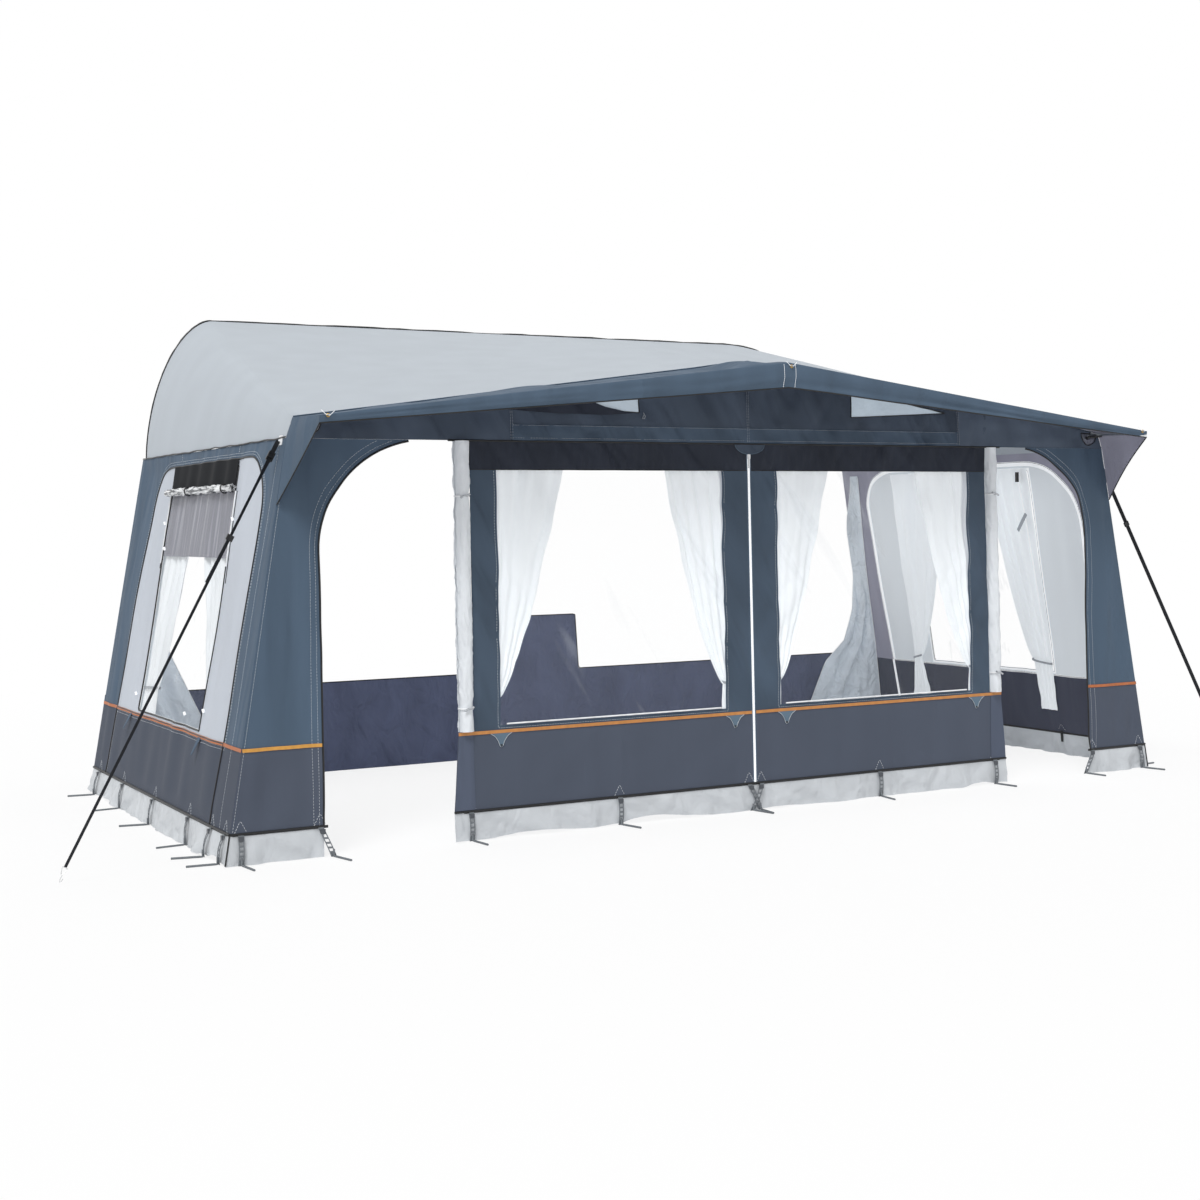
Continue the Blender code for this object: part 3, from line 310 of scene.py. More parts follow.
def walk(points, step, closed=False):
    """Points at an even spacing along a polyline of any dimension."""
    points = [Vector(p) for p in points]
    if closed:
        points.append(points[0])
    lengths = [(b - a).length for a, b in zip(points, points[1:])]
    count = max(1, round(sum(lengths) / step))
    spaced, index, passed = [], 0, 0.0
    for i in range(count + 1):
        target = sum(lengths) * i / count
        while index < len(lengths) - 1 and passed + lengths[index] < target:
            passed += lengths[index]
            index += 1
        spaced.append(points[index].lerp(points[index + 1], min(1, (target - passed) / lengths[index])))
    return spaced


def inside(point, outline):
    """Whether a point lies in an outline."""
    x, y = point
    found = False
    for (ax, ay), (bx, by) in zip(outline, outline[1:] + outline[:1]):
        if (ay > y) != (by > y) and x < (bx - ax) * (y - ay) / (by - ay) + ax:
            found = not found
    return found


def cut_along(cloth, start, end, reach):
    """Cut the faces near one straight stretch of an outline."""
    start, end = Vector((*start, 0)), Vector((*end, 0))
    along = end - start
    if along.length < 1e-6:
        return
    near = []
    for face in cloth.faces:
        centre = face.calc_center_median()
        share = min(1, max(0, (centre - start).dot(along) / along.length_squared))
        if (centre - start - along * share).length < reach:
            near.append(face)
    geometry = near + list({e for f in near for e in f.edges}) + list({v for f in near for v in f.verts})
    across = Vector((-along.y, along.x, 0)).normalized()
    bmesh.ops.bisect_plane(cloth, geom=geometry, dist=1e-6, plane_co=start, plane_no=across)


def cut_cloth(outline, holes=(), step=None):
    """Flat cloth in a fine grid, cut to an outline and its holes."""
    step = step or (sizes().grid, sizes().grid)
    low = [min(p[i] for p in outline) for i in (0, 1)]
    high = [max(p[i] for p in outline) for i in (0, 1)]
    counts = [max(1, math.ceil((h - b) / s)) for h, b, s in zip(high, low, step)]
    cloth = bmesh.new()
    bmesh.ops.create_grid(cloth, x_segments=counts[0], y_segments=counts[1], size=0.5)
    size = Matrix.Diagonal((high[0] - low[0], high[1] - low[1], 1, 1))
    middle = Matrix.Translation(((high[0] + low[0]) / 2, (high[1] + low[1]) / 2, 0))
    bmesh.ops.transform(cloth, matrix=middle @ size, verts=cloth.verts)
    reach = math.hypot(*step)
    for loop in (outline, *holes):
        for start, end in zip(loop, loop[1:] + loop[:1]):
            cut_along(cloth, start, end, reach)
    waste = []
    for face in cloth.faces:
        centre = face.calc_center_median()[:2]
        if not inside(centre, outline) or any(inside(centre, hole) for hole in holes):
            waste.append(face)
    bmesh.ops.delete(cloth, geom=waste, context="FACES")
    bmesh.ops.remove_doubles(cloth, verts=cloth.verts, dist=1e-5)
    return cloth


def cloth_area(cloth):
    """Area of a cloth's faces as they lie."""
    return sum(face.calc_area() for face in cloth.faces)


def scale_flat(cloth, across, up):
    """Scale the flat size that a draped cloth's UV keeps."""
    flat = cloth.loops.layers.uv["cloth"]
    for face in cloth.faces:
        for loop in face.loops:
            loop[flat].uv = (loop[flat].uv.x * across, loop[flat].uv.y * up)


def drape(cloth, place):
    """Move flat cloth into place, outer face outwards, and give its flat area.

    Its UV keeps the flat size in metres.
    """
    area = cloth_area(cloth)
    flat = cloth.loops.layers.uv.new("cloth")
    for face in cloth.faces:
        face.smooth = True
        for loop in face.loops:
            loop[flat].uv = loop.vert.co.xy
    for edge in cloth.edges:
        edge.smooth = len(edge.link_faces) == 2
    for vert in cloth.verts:
        vert.co = place(vert.co.x, vert.co.y)
    cloth.normal_update()
    facing = sum(face.normal.dot(face.calc_center_median() - MIDDLE) * face.calc_area()
                 for face in cloth.faces)
    if facing < 0:
        bmesh.ops.reverse_faces(cloth, faces=cloth.faces)
    return area


def add_object(name, data):
    """A new object of the scene."""
    made = bpy.data.objects.new(name, data)
    bpy.context.scene.collection.objects.link(made)
    return made


def finishes_of(material):
    """Finishes of a piece, given as a name or a finish: one, or an outer and an inner face."""
    found = FINISHES[material] if isinstance(material, str) else material
    return found if isinstance(found, list) else [found]


def make_piece(name, mesh_maker, materials, slot, body=AWNING, thickness=0.0, replaces=()):
    """One finished piece from a bmesh."""
    mesh = bpy.data.meshes.new(name)
    mesh_maker.to_mesh(mesh)
    mesh_maker.free()
    for material in finishes_of(materials):
        mesh.materials.append(material)
    piece = add_object(name, mesh)
    if thickness:
        solid = piece.modifiers.new("cloth thickness", "SOLIDIFY")
        solid.thickness = thickness
        solid.offset = 0
        solid.material_offset = len(mesh.materials) - 1
    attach(piece, body)
    for node in replaces:
        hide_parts(node)
    return piece


def sewn_panel(name, place, outline, material, slot, holes=(), step=None, replaces=(),
               thickness=None):
    """One cut cloth on its wall."""
    cloth = cut_cloth(outline, holes, step)
    area = drape(cloth, place)
    piece = make_piece(name, cloth, material, slot, thickness=thickness or sizes().cloth,
                       replaces=replaces)
    return piece


def flat_trim(name, place, outlines, material, slot, out, step=(0.02, 0.02), thickness=0.0015,
              body=AWNING):
    """Small flat pieces sewn onto a wall, as one piece."""
    whole = bmesh.new()
    for outline in outlines:
        cloth = cut_cloth(outline, (), step)
        drape(cloth, lambda x, z: place(x, z, out))
        mesh = bpy.data.meshes.new(name)
        cloth.to_mesh(mesh)
        cloth.free()
        whole.from_mesh(mesh)
        bpy.data.meshes.remove(mesh)
    return make_piece(name, whole, material, slot, body=body, thickness=thickness)


def upright_band(start, end, low, high):
    """Outline of a level band between two places along a wall."""
    return [(start, low), (end, low), (end, high), (start, high)]


def orange_band(name, place, start, end, material):
    """Orange band along the piping's height."""
    half = sizes().orange_band / 2
    return flat_trim(name, place, [upright_band(start, end, PIPING - half, PIPING + half)], material,
                     "slate_cloth", 0.0032)


def thin_lines(name, lines, radius, material, body=AWNING, rounding=1, closed=False):
    """Round lines, such as piping, thread or wire, as one piece."""
    curve = bpy.data.curves.new(name, "CURVE")
    curve.dimensions = "3D"
    curve.bevel_depth = radius
    curve.bevel_resolution = rounding
    curve.use_fill_caps = True
    for line in lines:
        spline = curve.splines.new("POLY")
        spline.points.add(len(line) - 1)
        for point, where in zip(spline.points, line):
            point.co = (*where, 1)
        spline.use_cyclic_u = closed
    holder = bpy.data.objects.new(name + "_curve", curve)
    mesh = bpy.data.meshes.new_from_object(holder)
    bpy.data.objects.remove(holder)
    bpy.data.curves.remove(curve)
    mesh.name = name
    mesh.materials.clear()
    mesh.materials.append(finishes_of(material)[0])
    mesh.shade_smooth()
    piece = add_object(name, mesh)
    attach(piece, body)
    return piece


def piping(name, lines, radius):
    """Black piping, cord or seam along lines, as one piece."""
    return thin_lines(name, lines, radius, "black")


def stitching(name, threads, share=1.0):
    """White stitches as one piece, at a share of the thread's drawn radius."""
    return thin_lines(name, threads, share * sizes().thread, "thread",
                      rounding=0)


def ring(steps):
    """Cosine and sine at even steps round a circle."""
    return [(math.cos(a), math.sin(a)) for a in (2 * math.pi * i / steps for i in range(steps))]


def laid_line(place, points, out, closed=False, step=0.02):
    """A polyline of a wall, laid on its cloth."""
    return [place(x, z, out) for x, z in walk(points, step, closed)]


def stitches(place, points, closed=False):
    """Thread along a polyline of a wall, as separate stitches."""
    pitch, length = sizes().stitch_pitch, sizes().stitch
    spaced = walk(points, pitch, closed)
    made = []
    for start, after in zip(spaced, spaced[1:]):
        end = start.lerp(after, length / pitch)
        made.append([place(*start, sizes().cloth / 2 + sizes().thread / 2),
                     place(*end, sizes().cloth / 2 + sizes().thread / 2)])
    return made


def offset_line(points, distance):
    """A polyline moved sideways, to the left of its direction."""
    moved = []
    for i, point in enumerate(points):
        before, after = Vector(points[max(0, i - 1)]), Vector(points[min(len(points) - 1, i + 1)])
        along = (after - before).normalized()
        moved.append((point[0] - along.y * distance, point[1] + along.x * distance))
    return moved


# Finishes

def add(tree, kind, inputs=None, **settings):
    """Add a shader node with its settings; an input is a value or the socket it comes from."""
    made = tree.nodes.new(kind)
    for name, value in settings.items():
        setattr(made, name, value)
    for name, value in (inputs or {}).items():
        if isinstance(value, bpy.types.NodeSocket):
            tree.links.new(value, made.inputs[name])
        else:
            made.inputs[name].default_value = value
    return made


def finish(name, colour, roughness, **sockets):
    """A material with a Principled shader, and that shader."""
    material = bpy.data.materials.new(name)
    material.use_nodes = True
    shader = material.node_tree.nodes["Principled BSDF"]
    shader.inputs["Base Color"].default_value = (*colour, 1)
    shader.inputs["Roughness"].default_value = roughness
    for socket, value in sockets.items():
        shader.inputs[socket.replace("_", " ")].default_value = value
    return material, shader


def clouds(tree, where, scale=1.0, detail=2.0, distortion=0.0):
    """Soft unevenness of a surface, from 0 to 1."""
    return add(tree, "ShaderNodeTexNoise", {"Vector": where, "Scale": scale, "Detail": detail,
                                            "Distortion": distortion}).outputs["Fac"]


def raised(tree, height, strength, distance, **under):
    """Normal of a surface raised by a height."""
    return add(tree, "ShaderNodeBump", {"Height": height, "Strength": strength, "Distance": distance,
                                        **under}).outputs[0]


def ramped(tree, level, stops):
    """Colour between two stops, each the level it stands at and its colour."""
    ramp = add(tree, "ShaderNodeValToRGB", {"Fac": level})
    for element, (position, colour) in zip(ramp.color_ramp.elements, stops):
        element.position = position
        element.color = (*colour, 1)
    return ramp.outputs["Color"]


def mottle(tree, colour, scale, darkest, lightest, where, detail=4.0):
    """Slow unevenness of a colour over its surface."""
    dark, light = [c * darkest for c in colour], [min(1, c * lightest) for c in colour]
    return ramped(tree, clouds(tree, where, scale, detail), ((0.3, dark), (0.7, light)))


def woven(name, colour, roughness, thread, mottling=0.05, crease=0.25, alpha=1.0, sheen=0.01,
          glow=0.0, drop=0.16, fine=0.6, relief=0.2, lean=0.0):
    """Plain-woven cloth: crossed threads a few millimetres apart as drawn, and slow creases.

    glow is an emission in the cloth's own colour: painted light that stands for the daylight thin
    cloth lets through from behind. The colour varies in slow streaks that run with the creases, partly
    the cloth's uneven tone and partly painted shade of its folds. drop is how long its creases are
    drawn downwards, with 1 for creases in every direction; fine adds smaller creases; lean is their
    angle from upright.
    """
    # glow sets an emission in the cloth's colour: painted light for daylight through thin cloth
    material, shader = finish(name, colour, roughness, Sheen_Weight=sheen, Specular_IOR_Level=0.22,
                              Alpha=alpha, Emission_Color=(*colour, 1), Emission_Strength=glow)
    tree = material.node_tree
    flat = add(tree, "ShaderNodeTexCoord").outputs
    # A sine band repeats every 0.314 / scale metres
    bands = [add(tree, "ShaderNodeTexWave", {"Vector": flat["UV"], "Scale": 0.314 / thread},
                 bands_direction=way).outputs["Fac"] for way in "XY"]
    weave = add(tree, "ShaderNodeMath", dict(enumerate(bands)), operation="MULTIPLY").outputs[0]
    # Creases run mostly downwards, as in hanging cloth
    hanging = add(tree, "ShaderNodeMapping", {"Vector": flat["Object"], "Rotation": (0.0, lean, 0.0),
                                              "Scale": (0.11, 0.11, 0.11 / drop)},
                  vector_type="TEXTURE").outputs[0]
    folds = clouds(tree, hanging, 1.0, fine, 0.6)
    creased = raised(tree, folds, crease, 0.07, Normal=raised(tree, weave, relief, thread / 4))
    tree.links.new(creased, shader.inputs["Normal"])
    # Colour streaks along the creases: partly uneven tone, partly painted shade of the folds
    tree.links.new(mottle(tree, colour, 0.7, 1 - mottling, 1 + mottling, hanging, fine),
                   shader.inputs["Base Color"])
    return material


def moulded(name, colour, roughness, grain, depth):
    """Moulded plastic or rubber with a fine grain."""
    material, shader = finish(name, colour, roughness)
    tree = material.node_tree
    where = add(tree, "ShaderNodeTexCoord").outputs["Object"]
    tree.links.new(raised(tree, clouds(tree, where, 1 / grain), 0.3, depth), shader.inputs["Normal"])
    tree.links.new(mottle(tree, colour, 40.0, 0.88, 1.1, where), shader.inputs["Base Color"])
    return material


def tube_steel(name, colour, roughness):
    """Drawn steel tube, galvanised: a bright metal with faint draw lines along it."""
    material, shader = finish(name, colour, roughness, Metallic=1.0)
    tree = material.node_tree
    where = add(tree, "ShaderNodeTexCoord").outputs["Object"]
    drawn = add(tree, "ShaderNodeMapping", {"Vector": where, "Scale": (300.0, 300.0, 6.0)}).outputs[0]
    level = add(tree, "ShaderNodeMapRange", {"Value": clouds(tree, drawn), "To Min": roughness - 0.08,
                                             "To Max": roughness + 0.12})
    tree.links.new(level.outputs[0], shader.inputs["Roughness"])
    return material


def clear_film(name, colour, alpha):
    """Clear PVC film: nearly invisible, with soft ripples and a few leaning streaks of higher alpha,
    painted highlights of its crinkles.
    """
    material, shader = finish(name, colour, 0.12, IOR=1.5)
    tree = material.node_tree
    where = add(tree, "ShaderNodeTexCoord").outputs["Object"]
    ripple = clouds(tree, where, 5.0, 2.0, 0.6)
    tree.links.new(raised(tree, ripple, 0.5, 0.01), shader.inputs["Normal"])
    # Leaning streaks where the film turns more opaque: painted highlights of its crinkles
    leaning = add(tree, "ShaderNodeMapping", {"Vector": where, "Scale": (0.11, 0.11, 0.8),
                                              "Rotation": (0.0, -0.55, 0.0)},
                  vector_type="TEXTURE").outputs[0]
    painted_crinkle_highlights = add(tree, "ShaderNodeMapRange", {"Value": clouds(tree, leaning, 1.0, 2.0, 0.4),
                                             "From Min": 0.64, "From Max": 0.80, "To Min": alpha,
                                             "To Max": alpha + 0.13})
    tree.links.new(painted_crinkle_highlights.outputs[0], shader.inputs["Alpha"])
    return material


def streaked(name, dark, pale, alpha, roughness, scale, levels):
    """Cloth with bright streaks on a darker ground, drawn along its own length: painted light on its
    wrinkles and crumples.
    """
    material, shader = finish(name, dark, roughness, Alpha=alpha)
    tree = material.node_tree
    where = add(tree, "ShaderNodeTexCoord").outputs["UV"]
    drawn = add(tree, "ShaderNodeMapping", {"Vector": where, "Scale": scale}).outputs[0]
    streaks = ramped(tree, clouds(tree, drawn, 1.0, 3.0), zip(levels, (dark, pale)))
    tree.links.new(streaks, shader.inputs["Base Color"])
    return material


def polyester(name, colour, roughness, **more):
    """PU-coated polyester, woven and dyed: matt and even."""
    return woven("coated_polyester_" + name, colour, roughness, 0.0035, **more)


FINISHES = {}


def make_finishes():
    """Every finish of the awning, by its piece."""
    c = colours()
    # PU-coated polyester: its inner face is the paler purple-grey coating; the inner faces of the slate
    # and of the insets glow a little, painted light for daylight through the cloth
    inner = polyester("inner_face", c.inner, 0.6, crease=0.3, mottling=0.08, glow=0.24)
    deep = polyester("lower_inner_face", c.inner_lower, 0.6, crease=0.3)
    pale = polyester("inset_inner_face", c.inset_inner, 0.6, mottling=0.03, crease=0.1, glow=0.2)
    FINISHES.update({
        # Outer face of the polyester: its creases are faint below the band and leaning above it, where
        # the colour's leaning streaks also paint the shade of the folds
        "slate": [polyester("slate", c.slate, 0.66, mottling=0.09, crease=0.34), inner],
        # Gable: the slate cloth painted darker as the canopy's shade, with leaning streaks of painted
        # fold shade
        "gable": [polyester("gable", c.gable, 0.68, mottling=0.20, crease=0.5, drop=0.25, lean=-0.5),
                  inner],
        "lower": [polyester("lower", c.lower, 0.68, mottling=0.03, crease=0.08), deep],
        # Side walls' lower cloth: the lower cloth painted 20 % darker, as shade
        "side_lower": [polyester("side_foot", [0.80 * v for v in c.lower], 0.68, mottling=0.0,
                                 crease=0.0), deep],
        "gable_end": polyester("gable_end", linear("535E6D"), 0.66, mottling=0.08, crease=0.3,
                               drop=0.5),
        # Stiles: leaning colour streaks paint the shade of diagonal wrinkles
        "stile": [polyester("stile", c.stile, 0.66, mottling=0.16, crease=0.6, drop=0.3, lean=-0.5),
                  inner],
        # Turned edges: flat strips whose lighter colour paints the light on the fold
        "turn": polyester("turned_edge", c.turn, 0.66, crease=0.3),
        # Header: its own dark cloth, with leaning colour streaks that paint the shade of its folds
        "header": [polyester("header", c.header, 0.68, mottling=0.20, crease=0.6, drop=0.25,
                             lean=-0.7), deep],
        "inset": [polyester("inset", c.inset, 0.6, mottling=0.03, crease=0.15), pale],
        # Thinner coated polyester: the door's lining shines a little, the rear flaps crumple more; both
        # glow a little, painted light for daylight through the cloth
        "door": woven("coated_polyester_door_lining", c.door, 0.5, 0.004, mottling=0.05, crease=0.5,
                      drop=0.5, fine=3.0, glow=0.10),
        "flap": woven("coated_polyester_rear_flap", c.flap, 0.38, 0.004, mottling=0.14, crease=0.9,
                      drop=0.8, glow=0.20, fine=3.0),
        "tab": woven("coated_polyester_tab", c.tab, 0.6, 0.003),
        # Blind's head cloth: black and flat
        "head": woven("blind_head_cloth", linear("16181C"), 0.9, 0.0035, mottling=0.0, crease=0.0,
                      relief=0.0),
        # PVC-backed woven skirt cloth: a little shinier, creased
        "skirt": woven("pvc_backed_skirt_cloth", c.skirt, 0.42, 0.004, mottling=0.12, crease=0.6,
                       drop=0.6, fine=3.0),
        # Acrylic-coated roof cloth: pale, smooth, hardly creased
        "roof": woven("acrylic_roof_cloth", c.roof, 0.6, 0.004, mottling=0.02, crease=0.04),
        # PVC-coated ripstop: pale and rather glossy, crumpled at the ground
        "mud": woven("pvc_mud_wall_cloth", c.mud, 0.42, 0.005, mottling=0.05, crease=0.4, drop=0.8,
                     fine=1.5),
        # Voile: white and soft; it glows, painted light for the daylight it lets through. The copy for
        # the left wall's side curtains glows less, and its stronger colour streaks paint the shade of its
        # folds
        "curtain": woven("voile_curtain", c.curtain, 0.85, 0.003, mottling=0.05, crease=0.10,
                         sheen=0.1, glow=0.30, drop=0.08, fine=2.0),
        "side_curtain": woven("voile_curtain_in_daylight", c.curtain, 0.85, 0.003, mottling=0.12,
                              crease=0.10, sheen=0.1, glow=0.10, drop=0.08, fine=2.0),
        # Tapes and webbing: flat bands with hardly any crease
        "tie": woven("curtain_tie_tape", linear("A3A8AE"), 0.6, 0.003),
        # The white tape, zip, thread and cord glow: painted light that keeps them white in shade
        "bright": woven("polyester_seam_tape", c.white, 0.6, 0.003, mottling=0.02, glow=0.35),
        "webbing": woven("polypropylene_webbing", linear("222428"), 0.75, 0.005, crease=0.0,
                         relief=0.05),
        # Fly mesh and window mesh: see-through cloth; the fly mesh glows, painted light for the daylight
        # through it, and the window mesh's upright pale streaks paint the light on its wrinkles
        "mesh": woven("fly_mesh", linear("B4C0C9"), 0.6, 0.003, mottling=0.08, alpha=0.86, glow=0.35,
                      drop=1.0, fine=4.0),
        "dark_mesh": streaked("window_mesh", linear("85868F"), linear("B6B7C1"), 0.90, 0.6,
                              (34.0, 1.6, 1.0), (0.48, 0.80)),
        # Metallised film on scrim: its reflections where it is crumpled are painted into its colour as
        # bright and dark streaks
        "blind": streaked("metallised_blind_film", linear("3E434A"), linear("F2F4F6"), 1.0, 0.25,
                          (70.0, 9.0, 1.0), (0.40, 0.56)),
        "film": clear_film("clear_pvc_film", c.film, 0.015),
        # Extruded and moulded trim: satin
        "black": moulded("pvc_black_piping", c.black, 0.45, 0.004, 0.0003),
        # Orange band copies with painted light and with painted shade
        "yellow": moulded("pvc_band_in_full_light", c.orange_in_painted_light, 0.5, 0.004, 0.0003),
        "orange": moulded("pvc_orange_band", c.orange, 0.5, 0.004, 0.0003),
        "amber": moulded("pvc_shaded_orange_band", c.orange_side, 0.5, 0.004, 0.0003),
        "white": moulded("polyester_white_trim", c.white, 0.5, 0.003, 0.0002),
        "thread": moulded("polyester_white_thread", linear("DDE1E5"), 0.7, 0.002, 0.0001),
        "ladder": moulded("rubber_pegging_ladder", c.ladder, 0.55, 0.003, 0.0004),
        "black_plastic": moulded("acetal_black_fitting", c.black, 0.35, 0.002, 0.0001),
        "grey_plastic": moulded("acetal_grey_buckle", linear("4A4E54"), 0.4, 0.002, 0.0001),
        # Bare metal: bright, with faint draw lines
        "steel": tube_steel("galvanised_steel_tube", linear("C4C6C8"), 0.32),
        "hook": tube_steel("zinc_plated_wire", linear("CDCFD0"), 0.25),
        "brass": tube_steel("brass_eyelet", linear("C9A661"), 0.3),
        "silver": tube_steel("nickel_toggle", linear("B8BBBF"), 0.28),
    })


# Operators

class AWNING_OT_camera(bpy.types.Operator):
    """Camera at the photograph's viewing angle."""
    bl_idname = "awning.camera"
    bl_label = "Camera"

    def execute(self, context):
        data = bpy.data.cameras.new("camera")
        data.lens = CAMERA_LENS
        data.sensor_width = 36
        data.shift_y = CAMERA_SHIFT
        camera = add_object("camera", data)
        turn, roll = (Matrix.Rotation(math.radians(angle), 4, "Z") for angle in CAMERA_TURN)
        aim = turn @ Matrix.Rotation(math.pi / 2, 4, "X") @ roll
        camera.matrix_world = Matrix.Translation(CAMERA_PLACE) @ aim
        context.scene.camera = camera
        return {"FINISHED"}


def boxes(name, corners, material, slot, body=AWNING, bevel=0.001):
    """Small blocks with rounded edges as one piece; each is a placing matrix and its three sizes."""
    made = bmesh.new()
    for matrix, size in corners:
        bmesh.ops.create_cube(made, size=1, matrix=matrix @ Matrix.Diagonal((*size, 1)))
    bmesh.ops.bevel(made, geom=made.edges[:], offset=bevel, segments=2, profile=0.5, affect="EDGES",
                    material=-1)
    bmesh.ops.recalc_face_normals(made, faces=made.faces)
    return make_piece(name, made, material, slot, body=body)


def turned_to(x_axis, y_axis, z_axis, at):
    """Placing matrix from three directions and a point."""
    matrix = Matrix((x_axis, y_axis, z_axis)).transposed().to_4x4()
    matrix.translation = at
    return matrix


class AWNING_OT_storm_straps(bpy.types.Operator):
    """Taut webbing straps from the eave corners to their ground hooks."""
    bl_idname = "awning.storm_straps"
    bl_label = "Storm straps"

    def execute(self, context):
        for side, sign in SIDES.items():
            thickness, width, tail_length = 0.0016, 0.020, 0.20
            outward = Vector((sign, 0, RAKE)).normalized()
            top = Vector((sign * corner_x(STRAP_TOP), FRONT_Y + 0.09, STRAP_TOP))
            top += outward * (CLOTH / 2 + GAP)
            tip = Vector((sign * (FRONT_WIDTH / 2 + STRAP_REACH), FRONT_Y + 0.031, 0.012))
            edgeways = (tip - top).cross(Vector((0, 1, 0))).normalized()
            top += outward * abs(edgeways.dot(outward)) * width / 2
            along = (tip - top).normalized()
            length = (tip - top).length - STRAP_HOOK
            across = sign * Vector((0, 1, 0)).cross(along).normalized()
            face = along.cross(across)
            path = [top + along * length * i / 32 for i in range(33)]

            def lie(s, t, lift=0.0):
                # Each strap turns a little out of the front's plane on its way down
                turn = math.radians(-42 if sign < 0 else 40) * smooth(t / 0.20)
                flat_way = across * math.cos(turn) + face * math.sin(turn)
                return top + along * t + flat_way * s + along.cross(flat_way) * lift

            half = width / 2
            band = cut_cloth(upright_band(-half, half, 0, length), (), (0.01, 0.05))
            drape(band, lie)
            strap = make_piece("storm_strap_webbing_" + side, band, "webbing",
                               "strap_webbing", thickness=thickness,
                               replaces=["storm_strap_" + side])
            tail = cut_cloth(upright_band(-half, half, 0, tail_length), (), (0.01, 0.02))
            start = 0.24 * length + 0.012
            drape(tail, lambda s, t: lie(s, start + t, -0.0028 - 0.002 * smooth(t / tail_length)))
            free_end = make_piece("storm_strap_tail_" + side, tail, "webbing",
                                  "strap_webbing", thickness=thickness)
            [tuple(p) for p in path]
            # Adjuster near the top: two side bars and three cross bars on the webbing
            middle = turned_to(across, face, along, lie(0, 0.075))
            bars = [(middle @ Matrix.Translation((x, 0, 0)), (0.006, 0.010, 0.042))
                    for x in (-0.012, 0.012)]
            bars += [(middle @ Matrix.Translation((0, -0.004 * (-1) ** i, z)), (0.028, 0.007, 0.012))
                     for i, z in enumerate((-0.016, 0, 0.016))]
            boxes("strap_adjuster_" + side, bars, "black_plastic", "black_plastic")
            # Sewn loop of light webbing that the strap hangs from
            wall = on_side(sign)
            loop = [(0.062, 1.758), (0.118, 1.758), (0.112, 1.800), (0.068, 1.800)]
            flat_trim("strap_loop_" + side, wall, [loop], "white", "zip_white", 0.002)
        return {"FINISHED"}


def roof_front(step):
    """Point of the roof's edge over the front wall; step runs from 0 at the eave to the ridge."""
    eave_x = corner_x(EAVE)
    if step < ROOF_EDGE_STEPS:
        share = step / ROOF_EDGE_STEPS
        return (eave_x + (SHOULDER_X - eave_x) * share, EAVE + GAP + (SHOULDER - EAVE - GAP) * share)
    x = SHOULDER_X * (1 - (step - ROOF_EDGE_STEPS) / ROOF_SLOPE_STEPS)
    return (x, roof_edge(x))


def roof_rail(step, sign):
    """Point of the rail's curve at the back, for the same step."""
    flat, power = RAIL_FLATS[sign], RAIL_ROUNDS[sign]
    foot = EAVE + GAP
    if step < ROOF_EDGE_STEPS:
        angle = math.pi / 2 * step / ROOF_EDGE_STEPS
        return (flat + (RAIL_FOOT_X - flat) * math.cos(angle) ** (2 / power),
                foot + (RAIL - foot) * math.sin(angle) ** (2 / power))
    return (flat * (1 - (step - ROOF_EDGE_STEPS) / ROOF_SLOPE_STEPS), RAIL)


def on_roof(across, deep):
    """Point of the roof sheet; across counts steps from the ridge, deep runs from 0 to 1 at the rail."""
    sign = 1 if across >= 0 else -1
    step = ROOF_STEPS - abs(across)
    front, back = roof_front(step), roof_rail(step, sign)
    start_y = front_y(front[1]) + CLOTH / 2 + GAP
    x = front[0] + (back[0] - front[0]) * deep
    up_edge = min(1, step / ROOF_EDGE_STEPS)
    pull = corner_x(EAVE) - RAIL_FOOT_X
    x += pull * deep * (1 - up_edge) ** 2 * (1 - smooth((deep - 0.93) / 0.07))
    y = start_y + (BACK_Y - 0.0083 - start_y) * deep
    z = front[1] + (back[1] - front[1]) * deep
    spread = math.sin(math.pi * deep)
    on_slope = smooth((step - ROOF_EDGE_STEPS) / 2) * smooth((ROOF_STEPS - step) / 1.5)
    z -= 0.014 * spread * on_slope
    z += 0.004 * spread * wave(0.8 * across, 3 * deep, 21)
    return Vector((sign * x, y, z))


class AWNING_OT_roof(bpy.types.Operator):
    """Light roof sheet up to the rail, with its bead."""
    bl_idname = "awning.roof"
    bl_label = "Roof"

    def execute(self, context):
        sheet = cut_cloth(upright_band(-ROOF_STEPS, ROOF_STEPS, 0, 1), (), (0.25, 1 / 24))
        drape(sheet, on_roof)
        scale_flat(sheet, 0.18, RAIL_DEPTH)
        area = cloth_area(sheet)
        roof = make_piece("roof_cloth", sheet, "roof", "roof_cloth",
                          thickness=sizes().cloth, replaces=["roof"])
        line = []
        for i in range(-4 * ROOF_STEPS, 4 * ROOF_STEPS + 1):
            point = on_roof(i / 4, 1)
            line.append(point + Vector((0, 0.003, 0.0015 + 0.003 * wave(i * 0.6, 0, 31))))
        bead = piping("rail_bead_cord", [line], 0.0070)
        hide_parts("rail_bead")
        return {"FINISHED"}


def canopy_height(x, heights):
    """Height of the canopy's front edge or of its fascia's foot."""
    return heights[0] + (heights[1] - heights[0]) * (1 - abs(x) / CANOPY_HALF)


# Middle, reach (both as shares of the half width) and height of each loose puff of the canopy
CANOPY_PUFFS = ((-0.075, 0.034, 0.036), (-0.30, 0.08, 0.003), (-0.55, 0.07, 0.010),
                (-0.68, 0.05, 0.008), (-0.86, 0.06, 0.008), (0.25, 0.08, 0.006), (0.62, 0.09, 0.006))


